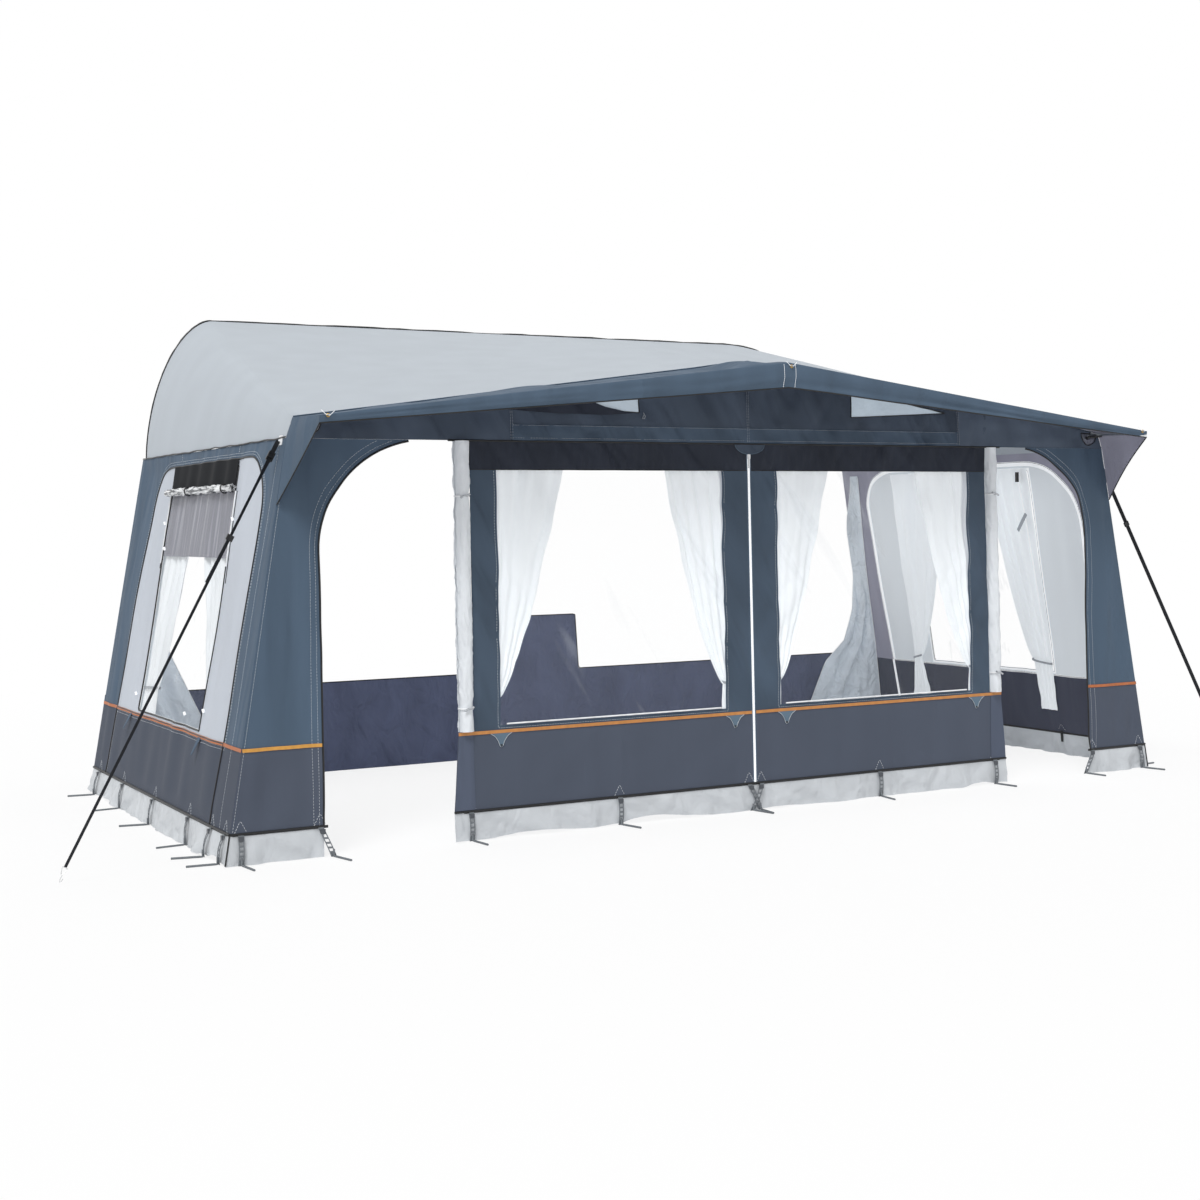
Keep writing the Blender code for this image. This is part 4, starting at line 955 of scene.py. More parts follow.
def on_canopy(share, fall):
    """Point of the canopy: fall runs 0 at the wall, 1 at the front edge, 2 at the fascia's foot."""
    front_edge = FRONT_Y - CANOPY_REACH
    calm = 1 - share ** 8
    if fall <= 1:
        rear_x, front_x = SHOULDER_X * share, CANOPY_HALF * share
        height = roof_edge(rear_x)
        rear = Vector((rear_x, front_y(height) - 0.0024, height))
        point = rear.lerp(Vector((front_x, front_edge, canopy_height(front_x, CANOPY_EDGE))), fall)
        spread = math.sin(math.pi * fall) * calm
        # Long soft folds run along the cloth where it slackens between wall and tube
        puff = sum(rise * bump(share - middle, reach) for middle, reach, rise in CANOPY_PUFFS)
        point.z += spread * (0.014 * wave(4.5 * share, 1.8 * fall, 43) - 0.004 + puff)
        return point
    x = CANOPY_HALF * share
    drop = fall - 1
    top, foot = canopy_height(x, CANOPY_EDGE), canopy_height(x, FASCIA_FOOT)
    z = top + (foot - top) * drop
    roll = 0.006 * math.sin(math.pi * min(1, drop * 1.2)) + 0.010 * wave(2.5 * x, 3 * drop, 41) * drop
    return Vector((x, front_edge + 0.004 * drop - roll * calm, z))


class AWNING_OT_canopy(bpy.types.Operator):
    """Canopy with its fascia, wings, piping, eyelets and pole pins."""
    bl_idname = "awning.canopy"
    bl_label = "Canopy"

    def execute(self, context):
        cloth = cut_cloth(upright_band(-1, 1, 0, 2), (), (1 / 120, 0.0625))
        drape(cloth, on_canopy)
        scale_flat(cloth, 2.34, 0.2)
        area = cloth_area(cloth)
        piece = make_piece("canopy_cloth", cloth, "slate", "slate_cloth", thickness=sizes().cloth,
                           replaces=["canopy"])
        for side, sign in SIDES.items():
            slant = (corner_x(EAVE) - SHOULDER_X) / (SHOULDER - EAVE)
            rear = [(corner_x(z) if z < EAVE else SHOULDER_X + slant * (SHOULDER - z), z)
                    for z in (1.875, 1.83, 1.785, 1.70, 1.60, 1.503)]
            rear = walk([Vector((sign * x, front_y(z) - 0.003, z)) for x, z in rear], 0.03)
            ends = (on_canopy(sign, 1), on_canopy(sign, 2))

            def hang(across, down, rear=rear, ends=ends, sign=sign):
                index = min(len(rear) - 2, int(down * (len(rear) - 1)))
                back = rear[index].lerp(rear[index + 1], down * (len(rear) - 1) - index)
                front = ends[0].lerp(ends[1], down)
                point = back.lerp(front, across)
                hollow = math.sin(math.pi * across) * down
                return point + Vector((-sign * 0.010 * hollow, 0, 0.012 * hollow))

            wing = cut_cloth(upright_band(0, 1, 0, 1), (), (1 / 14, 1 / 14))
            drape(wing, hang)
            bmesh.ops.remove_doubles(wing, verts=wing.verts, dist=1e-5)
            area = cloth_area(wing)
            piece = make_piece("canopy_wing_" + side, wing, "slate", "slate_cloth",
                               thickness=sizes().cloth)
            edge = [hang(i / 16, 1) for i in range(17)]
            piping("wing_piping_" + side, [edge], 0.003)
        foot = [on_canopy(i / 60, 2) for i in range(-60, 61)]
        piping("fascia_piping", [foot], 0.0035)
        rows = [[on_canopy(share, 1.04 + 0.94 * i / 12) + Vector((0, -0.0022, 0)) for i in range(13)]
                for share in (-0.014, 0.014)]
        dashes = [[a, a.lerp(b, 0.8)] for row in rows for a, b in zip(row, row[1:])]
        thin_lines("fascia_stitching", dashes, 1.6 * sizes().thread, "bright", rounding=0)
        rings, pins, cords = [], [], []
        for share in (-0.985, 0.004, 0.985):
            centre = on_canopy(share, 1.14) + Vector((0, -0.003, 0))
            rings.append([centre + Vector((0.0065 * right, 0, 0.0065 * up)) for right, up in ring(16)])
            pins.append([centre, centre + Vector((0, -0.012, 0.001))])
            cords.append([centre + Vector(step) for step in
                          ((-0.030, -0.001, 0.022), (-0.012, -0.004, 0.004), (0.004, -0.006, -0.002),
                           (0.026, -0.004, 0.018))])
        thin_lines("fascia_eyelets", rings, 0.0022, "brass", closed=True)
        thin_lines("fascia_pins", pins, 0.004, "steel")
        thin_lines("fascia_cords", cords, 0.0012, "bright")
        # White corner patch where the fascia meets the right wing
        patch = cut_cloth([(0.975, 1.96), (0.999, 1.55), (0.999, 1.96)], (), (0.01, 0.1))
        drape(patch, lambda share, fall: on_canopy(share, fall) + Vector((0, -0.0016, 0)))
        make_piece("fascia_corner_patch", patch, "white", "zip_white", thickness=0.001)
        seam = [on_canopy(i / 60, 0.02) + Vector((0, 0, 0.003)) for i in range(-60, 61)]
        thin_lines("roof_seam_piping", [seam], 0.0035, "slate")
        return {"FINISHED"}


def vent_outline(sign, grow=0.0):
    """Triangle of a gable vent."""
    foot, tip, top = (EAVE + share * (RIDGE - EAVE) for share in VENT_SHARES)
    slope = (VENT_X[1] - VENT_X[0]) / (top - foot)
    return mirrored([(VENT_X[0] - grow, foot - grow), (VENT_X[1] + grow * slope, tip),
                     (VENT_X[0] - grow, top + grow)], sign)


class AWNING_OT_gable(bpy.types.Operator):
    """Gable over the veranda seam with its mesh vents."""
    bl_idname = "awning.gable"
    bl_label = "Gable"

    def execute(self, context):
        foot = EAVE + GAP
        outline = [(-corner_x(foot), foot), (corner_x(foot), foot), (SHOULDER_X, SHOULDER),
                   (0, RIDGE), (-SHOULDER_X, SHOULDER)]
        vents = [vent_outline(sign) for sign in SIDES.values()]
        # The gable cloth's darker colour paints the canopy's shade on it
        sewn_panel("gable_cloth", on_front, outline, "gable", "slate_cloth",
                   holes=vents, replaces=["gable"])
        for side, sign in SIDES.items():
            sewn_panel("vent_mesh_" + side, lambda x, z: on_front(x, z, -0.001), vent_outline(sign, 0.01),
                       "mesh", "vent_mesh",
                       replaces=["gable_vent_" + side], thickness=0.0008)
        # Loose flap that droops over the outer part of the left vent
        droop = [(-1.30, 1.928), (-1.05, 1.914), (-0.80, 1.912), (-0.655, 1.922), (-0.72, 1.934),
                 (-0.80, 1.950), (-0.89, 1.982), (-1.00, 2.012), (-1.28, 1.982)]
        flat_trim("vent_flap_left",
                  lambda x, z, out: on_front(x, z, out + 0.004 * wave(9 * x, 14 * z, 24)),
                  [droop], "header", "dark_cloth", 0.007)
        knot = [(-0.600, 1.925), (-0.585, 1.900), (-0.610, 1.893), (-0.598, 1.915)]
        thin_lines("vent_tie_left", [laid_line(on_front, knot, 0.008)], 0.0016, "tie")
        lines = [laid_line(on_front, vent, 0.001, closed=True) for vent in vents]
        piping("vent_piping", lines, 0.003)
        seam = [(x, EAVE) for x in (-PANEL_FOOT, PANEL_FOOT)]
        piping("veranda_seam_piping", [laid_line(on_front, seam, 0.001)], 0.0050)
        # End of the gable over the right doorway, lighter than the rest of the gable, whose darker colour
        # is painted shade
        gable_end = [(1.322, EAVE + 0.004), (corner_x(EAVE) - 0.004, EAVE + 0.004),
                     (SHOULDER_X - 0.01, SHOULDER - 0.006), (1.322, roof_edge(1.322) - 0.012)]
        flat_trim("gable_end_right", on_front, [gable_end], "gable_end", "slate_cloth", 0.0012)
        # Sleeve of slate cloth along the eave beam, in the darker stile colour as painted shade under the
        # canopy
        sleeve = upright_band(-1.285, 1.320, 1.789, 1.862)
        flat_trim("beam_sleeve", on_front, [sleeve], "stile", "slate_cloth", 0.0026)
        rows = [[(-1.28, z), (1.315, z)] for z in (1.800, 1.858)]
        rows += [[(x, EAVE + 0.01), (x, roof_edge(x) - 0.01)]
                 for x in (-1.290, -1.280, -0.005, 0.005, 1.315, 1.325)]
        threads = [dash for row in rows
                   for dash in stitches(lambda x, z, out: on_front(x, z, out + 0.0025), row)]
        thin_lines("gable_stitching", threads, 1.2 * sizes().thread, "tie", rounding=0)
        # Silvery half-moon pockets that take the ends of the canopy tube
        for side, sign in SIDES.items():
            pocket = mirrored(arc((2.245, 1.868), (0.056, 0.066), math.pi, 2 * math.pi, 12), sign)
            flat_trim("tube_pocket_" + side, on_front, [pocket], "silver", "zip_white", 0.003,
                      step=(0.01, 0.01))
            rim = laid_line(on_front, pocket, 0.005, closed=True, step=0.01)
            piping("tube_pocket_rim_" + side, [rim], 0.0028)
            end = on_front(sign * 2.232, 1.845, 0.008)
            thin_lines("tube_stub_" + side, [[end, end + Vector((sign * 0.060, -0.050, 0.008))]], 0.008,
                       "black_plastic", rounding=3)
        # Half-moon tab at the zip's head, in the gable's painted shade
        half_moon = arc((0, EAVE - 0.004), (0.086, 0.046), math.pi, 2 * math.pi, 16)
        flat_trim("zip_head_tab", on_front, [half_moon], FINISHES["gable"][0], "slate_cloth", 0.0055,
                  step=(0.01, 0.01))
        thin_lines("zip_head_edge", [laid_line(on_front, half_moon, 0.0065, step=0.012)], 0.0013,
                   "tab")
        return {"FINISHED"}


def arch_line(distance=0.0):
    """Doorway edge of a column, from the hem up and round the arch."""
    centre = (DOORWAY - ARCH[0], EAVE - ARCH[1])
    radii = (ARCH[0] + distance, ARCH[1] + distance)
    tip = ARCH_TIP
    while centre[1] + radii[1] * math.sin(tip) > EAVE - 0.004:
        tip -= math.radians(1)
    return [(DOORWAY + distance, HEM)] + arc(centre, radii, 0, tip, 20)


class AWNING_OT_columns(bpy.types.Operator):
    """Front corner columns round the arched doorways."""
    bl_idname = "awning.columns"
    bl_label = "Columns"

    def execute(self, context):
        threads, pipes, hems, seams = [], [], [], []
        for side, sign in SIDES.items():
            tip_x = DOORWAY - ARCH[0] + ARCH[0] * math.cos(ARCH_TIP)
            arch = arc((DOORWAY - ARCH[0], EAVE - ARCH[1]), ARCH, ARCH_TIP, 0, 20)
            outline = [(DOORWAY, PIPING), (corner_x(PIPING), PIPING), (corner_x(EAVE), EAVE),
                       (tip_x, EAVE)] + arch
            sewn_panel("column_" + side, on_front, mirrored(outline, sign), "slate",
                       "slate_cloth",
                       replaces=["front_column_" + side])
            lower = [(DOORWAY, HEM), (corner_x(HEM), HEM), (corner_x(PIPING), PIPING), (DOORWAY, PIPING)]
            sewn_panel("column_foot_" + side, on_front, mirrored(lower, sign), "lower",
                       "slate_cloth")
            edge = mirrored(arch_line(0.001), sign)
            pipes.append(laid_line(on_front, edge, 0.0015))
            for distance in (0.020, 0.045):
                threads += stitches(on_front, mirrored(arch_line(distance), sign))
            if sign < 0:
                corner = [(corner_x(z) - 0.010, z) for z in (HEM + 0.01, SHOULDER - 0.02)]
                threads += stitches(on_front, mirrored(corner, sign))
            # Orange band painted lighter on the left column and darker on the right, as light and shade
            orange_band("column_orange_" + side, on_front, sign * DOORWAY,
                        sign * (corner_x(PIPING) - 0.002), "yellow" if sign < 0 else "amber")
            hem = mirrored([(DOORWAY, HEM), (corner_x(HEM), HEM)], sign)
            hems.append(laid_line(on_front, hem, 0.002))
            seams.append([Vector((sign * (corner_x(z) + 0.001), front_y(z) - 0.001, z))
                          for z in (0.006, 0.05, 0.09, HEM)])
        piping("column_hem", hems, 0.0058)
        piping("mud_corner_seams", seams, 0.0035)
        piping("doorway_piping", pipes, 0.0045)
        stitching("column_stitching", threads)
        return {"FINISHED"}


class AWNING_OT_front_panels(bpy.types.Operator):
    """Middle panels with their headers, stiles and clear windows."""
    bl_idname = "awning.front_panels"
    bl_label = "Front panels"

    def execute(self, context):
        pipes, threads, strips, eyelets, rims = [], [], [], [], []
        for side, sign in SIDES.items():
            cuts = {
                "header": (upright_band(PANEL_INNER, PANEL_OUTER, HEADER_FOOT, EAVE), "header",
                           "dark_cloth", (0.005, 0.02)),
                "inner_stile": (upright_band(PANEL_INNER, PANE_INNER, PIPING, HEADER_FOOT), "stile",
                                "slate_cloth", None),
                "outer_stile": (upright_band(PANE_OUTER, PANEL_OUTER, PIPING, HEADER_FOOT), "stile",
                                "slate_cloth", None),
                "sill": (upright_band(PANE_INNER, PANE_OUTER, PIPING, SILL), "stile", "slate_cloth",
                         (0.03, 0.01)),
                "lower_panel": ([(PANEL_INNER, HEM), (PANEL_FOOT, HEM),
                                 (PANEL_OUTER + 2 * ROLL_RADIUS, PIPING), (PANEL_INNER, PIPING)],
                                "lower", "slate_cloth", None),
            }
            for name, (outline, cloth, slot, step) in cuts.items():
                sewn_panel(name + "_" + side, on_front, mirrored(outline, sign), cloth, slot,
                           step=step,
                           replaces=["front_panel_" + side] if name == "lower_panel" else ())
            pane = upright_band(PANE_INNER, PANE_OUTER, SILL, HEADER_FOOT)
            sewn_panel("window_film_" + side, on_front, mirrored(pane, sign), "film",
                       "clear_film", step=(0.06, 0.06), thickness=0.0006,
                       replaces=["front_window_" + side])
            above = [(PANEL_INNER, HEADER_FOOT), (PANEL_OUTER, HEADER_FOOT)]
            pipes.append(laid_line(on_front, mirrored(above, sign), 0.001))
            # Turned-back edge beside each door roll: a flat strip whose lighter colour paints the light
            # on the fold
            turned = [(PANEL_OUTER, HEM + 0.006), (PANEL_FOOT - 0.002, HEM + 0.006),
                      (PANEL_OUTER + 2 * ROLL_RADIUS - 0.002, PIPING), (PANEL_OUTER + 0.006, PIPING)]
            flat_trim("turned_edge_" + side, on_front, [mirrored(turned, sign)], "turn",
                      "slate_cloth", 0.0018)
            orange_band("front_orange_" + side, on_front, sign * PANEL_INNER,
                        sign * (PANEL_OUTER + 2 * ROLL_RADIUS), "orange")
            strip = [(PANE_INNER + 0.03, SILL + 0.006), (PANE_OUTER - 0.03, SILL + 0.006)]
            strips.append(laid_line(on_front, mirrored(strip, sign), 0.006))
            around = upright_band(PANE_INNER - 0.012, PANE_OUTER + 0.012, SILL - 0.012, HEADER_FOOT)
            threads += stitches(on_front, mirrored(around, sign), closed=True)
        piping("front_black_piping", pipes, 0.0018)
        # Eyelet tabs under the band, drawn to a point with hollow sides
        tabs = []
        for x in (-1.365, -0.110, 0.196, 1.405):
            half_tab = ((0.052, 0), (0.030, 0.014), (0.015, 0.036), (0.006, 0.062))
            tab = [(x + dx, PIPING - 0.008 - dz) for dx, dz in half_tab]
            tab += [(x - dx, PIPING - 0.008 - dz) for dx, dz in reversed(half_tab)]
            tabs.append(tab)
            rims.append(laid_line(on_front, tab, 0.0034, step=0.012))
            eyelets.append([on_front(x + 0.0045 * right, 0.4155 + 0.0045 * up, 0.004)
                            for right, up in ring(10)])
        flat_trim("eyelet_tabs", on_front, tabs, "tab", "slate_cloth", 0.0026, step=(0.01, 0.01))
        thin_lines("tab_edges", rims, 0.0009, "thread", rounding=0)
        thin_lines("tab_eyelets", eyelets, 0.0018, "black", closed=True)
        hem = laid_line(on_front, [(-PANEL_FOOT, HEM), (PANEL_FOOT, HEM)], 0.002)
        piping("front_hem", [hem], 0.0056)
        thin_lines("window_foot_strips", strips, 0.0038, "white")
        stitching("front_stitching", threads)
        return {"FINISHED"}


def spiral(radius, turns, steps):
    """Section of rolled cloth, from its core to its outer edge."""
    core = radius * 0.30
    points = []
    for i in range(steps + 1):
        share = i / steps
        r = core + (radius - core) * share
        angle = 2 * math.pi * turns * share
        points.append(Vector((r * math.cos(angle), r * math.sin(angle))))
    return points


def rolled(name, start, end, radius, turns, ties, material, slot, seed, replaces, crumple=1.0,
           draw=0.26):
    """Cloth rolled up tightly, drawn in where it is tied and crumpled between."""
    along = end - start
    length = along.length
    along.normalize()
    side = along.cross(Vector((0, 1, 0)))
    if side.length < 0.5:
        side = along.cross(Vector((0, 0, 1)))
    side.normalize()
    over = along.cross(side)
    section = spiral(radius, turns, 26 * turns)
    lengths = [0.0]
    for a, b in zip(section, section[1:]):
        lengths.append(lengths[-1] + (b - a).length)
    run = lengths[-1]

    def wrap(s, t):
        after = next((i for i, v in enumerate(lengths) if v > s), len(lengths) - 1)
        index = min(len(section) - 2, max(0, after - 1))
        share = (s - lengths[index]) / (lengths[index + 1] - lengths[index])
        flat = section[index].lerp(section[index + 1], min(1, max(0, share)))
        angle = math.atan2(flat.y, flat.x)
        nearest = min(abs(t - tie * length) for tie in ties)
        waist = 1 - draw * bump(nearest, 0.05)
        ruck = 0.09 * wave(1.6 * angle + 5 * t, 9 * t, seed)
        ruck += 0.07 * wave(4 * angle + 16 * t, 22 * t, seed + 1)
        ruck = crumple * (ruck + 0.08 * wave(3 * angle + 45 * t, 14 * t, seed + 2))
        flat = flat * waist * (1 + ruck * min(1, flat.length / radius) * (1 - bump(nearest, 0.03)) - 0.05)
        return start + along * t + side * flat.x + over * flat.y

    cloth = cut_cloth(upright_band(0, run, 0, length), (), (run / (26 * turns), 0.012))
    drape(cloth, wrap)
    piece = make_piece(name, cloth, material, slot, thickness=0.0012, replaces=replaces)
    return piece


class AWNING_OT_door_rolls(bpy.types.Operator):
    """Doors rolled up beside the middle panels, with their straps and toggles."""
    bl_idname = "awning.door_rolls"
    bl_label = "Door rolls"

    def execute(self, context):
        for side, sign in SIDES.items():
            x = sign * (PANEL_OUTER + GAP + ROLL_RADIUS)
            foot, top = PIPING + 0.010, EAVE - 0.002
            start, end = Vector((x, front_y(foot), foot)), Vector((x, front_y(top), top))
            rolled("rolled_door_" + side, start, end, ROLL_RADIUS, 5, (0.08, 0.81), "door",
                   "door_cloth", 51 + sign, ["door_roll_" + side], draw=0.10)
            for number, share in enumerate((0.08, 0.81)):
                centre = start.lerp(end, share)
                band = bmesh.new()
                bmesh.ops.create_cone(band, cap_ends=False, segments=28, radius1=0.0348, radius2=0.0348,
                                      depth=0.008, matrix=Matrix.Translation(centre))
                for face in band.faces:
                    face.smooth = True
                make_piece("door_tie_%s_%d" % (side, number), band, "white", "door_cloth",
                           thickness=0.0015)
                toggle = [centre + Vector((sign * dx, -0.040, dz)) for dx, dz in
                          ((-0.022, 0.008), (-0.007, 0), (0.007, 0), (0.022, -0.008))]
                thin_lines("door_toggle_%s_%d" % (side, number), [toggle], 0.0048, "silver",
                           rounding=3)
        return {"FINISHED"}


class AWNING_OT_zip(bpy.types.Operator):
    """White middle zip: two tapes edged in slate, and a row of teeth."""
    bl_idname = "awning.zip"
    bl_label = "Zip"

    def execute(self, context):
        bands = {"white": (0.0018, 0.0066), "slate": (0.0064, 0.0128)}
        for name, (start, end) in bands.items():
            outlines = [upright_band(sign * start, sign * end, HEM, EAVE) for sign in SIDES.values()]
            tape = flat_trim("zip_tape_" + name, on_front, outlines,
                             "bright" if name == "white" else name, "zip_white", 0.0,
                             step=(0.01, 0.03), thickness=0.0010)
            if name == "white":
                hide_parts("front_zip")
        teeth = bmesh.new()
        count = 300
        for i in range(count):
            z = HEM + 0.004 + (EAVE - HEM - 0.008) * i / (count - 1)
            at = Matrix.Translation((0.0012 * (-1) ** i, front_y(z), z))
            tooth = Matrix.Diagonal((0.0052, 0.0026, 0.0034, 1))
            bmesh.ops.create_cube(teeth, size=1, matrix=at @ tooth)
        make_piece("zip_teeth", teeth, "bright", "zip_white")
        return {"FINISHED"}


def mud_place(place, ladders, seed):
    """Mud wall hanging from the hem, folded and rucked up at the ground but flat behind each ladder."""
    def hang(across, z):
        fall = min(1, max(0, (HEM - z) / HEM))
        near = max([bump(across - where, 0.045) for where in ladders] or [0])
        fold = wave(5 * across + 6 * z, 2 * z, seed)
        fold += 0.7 * abs(wave(11 * across + 18 * z, 6 * z, seed + 1))
        depth = sizes().mud_fold * fold * fall * (1 - near) - 0.003 * near * fall
        rise = 0.030 * fall * max(0, wave(2.6 * across, 0, seed + 2) - 0.15) * (1 - 0.6 * near)
        return place(across, z + rise, depth)
    return hang


class AWNING_OT_mud_walls(bpy.types.Operator):
    """Mud walls below the hem."""
    bl_idname = "awning.mud_walls"
    bl_label = "Mud walls"

    def execute(self, context):
        outline = upright_band(-PANEL_FOOT, PANEL_FOOT, MUD_FOOT, HEM)
        sewn_panel("mud_cloth_centre", mud_place(on_front, LADDERS["front_centre"][1], 61), outline,
                   "mud", "mud_flap",
                   step=(0.02, 0.015), replaces=["mud_wall_centre"])
        for side, sign in SIDES.items():
            front = mirrored([(DOORWAY, MUD_FOOT), (corner_x(MUD_FOOT), MUD_FOOT),
                              (corner_x(HEM), HEM), (DOORWAY, HEM)], sign)
            ladders = LADDERS["front_" + side][1] + [sign * corner_x(0.07)]
            sewn_panel("mud_cloth_front_" + side, mud_place(on_front, ladders, 63), front,
                       "mud", "mud_flap",
                       step=(0.02, 0.015), replaces=["mud_wall_" + side])
            run = [(0.0005, MUD_FOOT), (SIDE_FOOT, MUD_FOOT), (SIDE_FOOT, HEM), (0.002, HEM)]
            ladders = LADDERS["side_" + side][1] + [0]
            sewn_panel("mud_cloth_side_" + side, mud_place(on_side(sign), ladders, 65), run,
                       "mud", "mud_flap",
                       step=(0.02, 0.015))
        return {"FINISHED"}


def inset_outline(sign, grow=0.0):
    """Light inset of a side wall."""
    i = INSETS[sign]
    foot, top = i["foot"] - grow, i["top"] + grow
    front, back = i["front_top"] - grow, i["back_top"] + grow
    near, far = ([radius + grow for radius in i[end + "_corner"]] for end in ("front", "back"))
    outline = [(i["front_foot"] - grow, foot), (i["back_foot"] + grow, foot)]
    outline += arc((back - far[0], top - far[1]), far, 0, math.pi / 2, 12)
    outline += arc((front + near[0], top - near[1]), near, math.pi / 2, math.pi, 12)
    return outline


def wall_rear(z):
    """Run of a side wall's rear edge at a height."""
    return SIDE_FOOT + (SIDE_TOP - SIDE_FOOT) * (z - HEM) / (EAVE - HEM)


class AWNING_OT_side_walls(bpy.types.Operator):
    """Side walls with their light insets and windows."""
    bl_idname = "awning.side_walls"
    bl_label = "Side walls"

    def execute(self, context):
        pipes, threads, hems, beads = [], [], [], []
        front0, back0, foot0, top0 = SIDE_PANE
        pane = upright_band(front0, back0, foot0, top0)
        for side, sign in SIDES.items():
            place = on_side(sign)
            inset = INSETS[sign]
            near = inset["front_top"] + inset["front_corner"][0]
            far = inset["back_top"] - inset["back_corner"][0]
            borders = {"front": (LEAN * PIPING, near, near, LEAN * EAVE), "top": (near, far, far, near),
                       "rear": (far, wall_rear(PIPING), wall_rear(EAVE), far)}
            for name, runs in borders.items():
                foot = PIPING if name != "top" else inset["top"]
                outline = [(runs[0], foot), (runs[1], foot), (runs[2], EAVE), (runs[3], EAVE)]
                sewn_panel("side_border_%s_%s" % (name, side), place, outline, "slate",
                           "slate_cloth", holes=[inset_outline(sign)],
                           replaces=["side_wall_" + side] if name == "front" else ())
            lower = [(LEAN * HEM, HEM), (wall_rear(HEM), HEM), (wall_rear(PIPING), PIPING),
                     (LEAN * PIPING, PIPING)]
            # Lower band of the side wall, in the lower cloth's painted-shade copy
            sewn_panel("side_foot_" + side, place, lower, "side_lower", "slate_cloth")
            sewn_panel("side_inset_cloth_" + side, place, inset_outline(sign), "inset",
                       "roof_cloth", holes=[pane],
                       replaces=["side_inset_" + side])
            sewn_panel("side_film_" + side, place, pane, "film", "clear_film",
                       step=(0.06, 0.06), thickness=0.0006,
                       replaces=["side_window_" + side])
            # White seam tapes on the inner face, round the inset and round the window
            within = [(run, inset["foot"] + 0.004 if z < inset["foot"] + 0.05 else z)
                      for run, z in inset_outline(sign, -0.022)]
            round_pane = [upright_band(front0 - grow, back0 + grow, foot0 - grow, top0 + grow)
                          for grow in (0.010, -0.005)]
            for name, (outer, inner) in {"inset": (inset_outline(sign, 0.004), within),
                                         "pane": round_pane}.items():
                tape = cut_cloth(outer, [inner], (0.02, 0.02))
                drape(tape, lambda run, z: place(run, z, -0.0022))
                make_piece("side_%s_tape_%s" % (name, side), tape, "bright", "zip_white",
                           thickness=0.001)
            # Orange band in its painted-shade copy
            orange_band("side_orange_" + side, place, 0.006, wall_rear(PIPING), "amber")
            pipes.append(laid_line(place, inset_outline(sign), 0.001, closed=True))
            pipes.append(laid_line(place, pane, 0.001, closed=True))
            hems.append(laid_line(place, [(0, HEM), (wall_rear(HEM), HEM)], 0.002))
            beads.append([place(run, EAVE + 0.003 + 0.003 * wave(9 * run, 0, 33), 0.003)
                          for run in (0.03 + 2.37 * i / 60 for i in range(61))])
            threads += stitches(place, [(0.150, HEM + 0.01), (0.105, EAVE - 0.01)])
            # The insets' edge seams run on down to the hem, taped on the inside
            tapes = []
            for end, way in (("front", -1), ("back", 1)):
                foot, top = inset[end + "_foot"], inset[end + "_top"]
                low = foot + (foot - top) * (inset["foot"] - HEM) / (inset["top"] - inset["foot"])
                seam = [(low, HEM), (foot, inset["foot"])]
                pipes.append(laid_line(place, seam, 0.002))
                threads += stitches(place, offset_line(seam, way * 0.010))
                tapes.append([(low - 0.010, HEM), (low + 0.010, HEM), (foot + 0.010, inset["foot"]),
                              (foot - 0.010, inset["foot"])])
            flat_trim("seam_foot_tapes_" + side, place, tapes, "bright", "zip_white", -0.0026)
            for run in (0.66, 1.62):
                threads += stitches(place, [(run, inset["top"] + 0.03), (run, EAVE)])
            for grow in (0.012, 0.024):
                threads += stitches(place, inset_outline(sign, grow), closed=True)
        piping("side_black_piping", pipes, 0.0045)
        piping("side_hem", hems, 0.0065)
        piping("side_eave_bead", beads, 0.0035)
        stitching("side_stitching", threads)
        return {"FINISHED"}


class AWNING_OT_rear_flaps(bpy.types.Operator):
    """Crumpled draught flaps inwards from the side walls' rear edges."""
    bl_idname = "awning.rear_flaps"
    bl_label = "Rear flaps"

    def execute(self, context):
        reach = {"left": ((0, 1.86), (0.358, 2.03), (0.715, 2.20), (1.16, 2.36), (FLAP_TOP, 2.37)),
                 "right": ((0, 2.00), (0.187, 2.09), (0.46, 2.22), (0.60, 2.38), (0.80, 2.45),
                           (FLAP_TOP, 2.50))}
        edges = []
        for side, sign in SIDES.items():
            wall = on_side(sign)

            def free_x(z, steps=reach[side]):
                for (low, start), (high, end) in zip(steps, steps[1:]):
                    if z <= high:
                        return start + (end - start) * (z - low) / (high - low)
                return steps[-1][1]

            def span(share, z, sign=sign, wall=wall, free_x=free_x):
                near = wall(2.26 + 0.10 * (1 - z / FLAP_TOP), z, -0.004)
                far = Vector((sign * min(free_x(z), corner_x(z) - 0.006), BACK_Y - 0.050, z))
                far = far.lerp(near, 0.60 * smooth((z - 1.3) / (FLAP_TOP - 1.3)))
                point = near.lerp(far, share)
                loose = math.sin(math.pi * share) * smooth((FLAP_TOP - z) / 0.5)
                # Folds fan out from the top towards the ground
                fan = 0.022 * math.sin(14 * share + 3 * wave(2 * share, 2 * z, 97))
                fan += 0.016 * wave(7 * share, 5 * z, 98) + 0.010 * wave(18 * share, 12 * z, 99)
                return point + Vector((0, -1, 0)) * abs(loose) * (0.012 + fan)

            cloth = cut_cloth(upright_band(0, 1, 0.004, FLAP_TOP), (), (1 / 40, 0.02))
            drape(cloth, span)
            scale_flat(cloth, 0.55, 1)
            area = cloth_area(cloth)
            piece = make_piece("rear_flap_" + side, cloth, "flap", "skirt_cloth",
                               thickness=sizes().cloth)
            edges += [[span(share, z, sign, wall, free_x) + Vector((0, -0.002, 0))
                       for z in (0.01 + (FLAP_TOP - 0.02) * i / 40 for i in range(41))]
                      for share in (0.0, 1.0)]
        thin_lines("flap_edges", edges, 0.0022, "white")
        return {"FINISHED"}


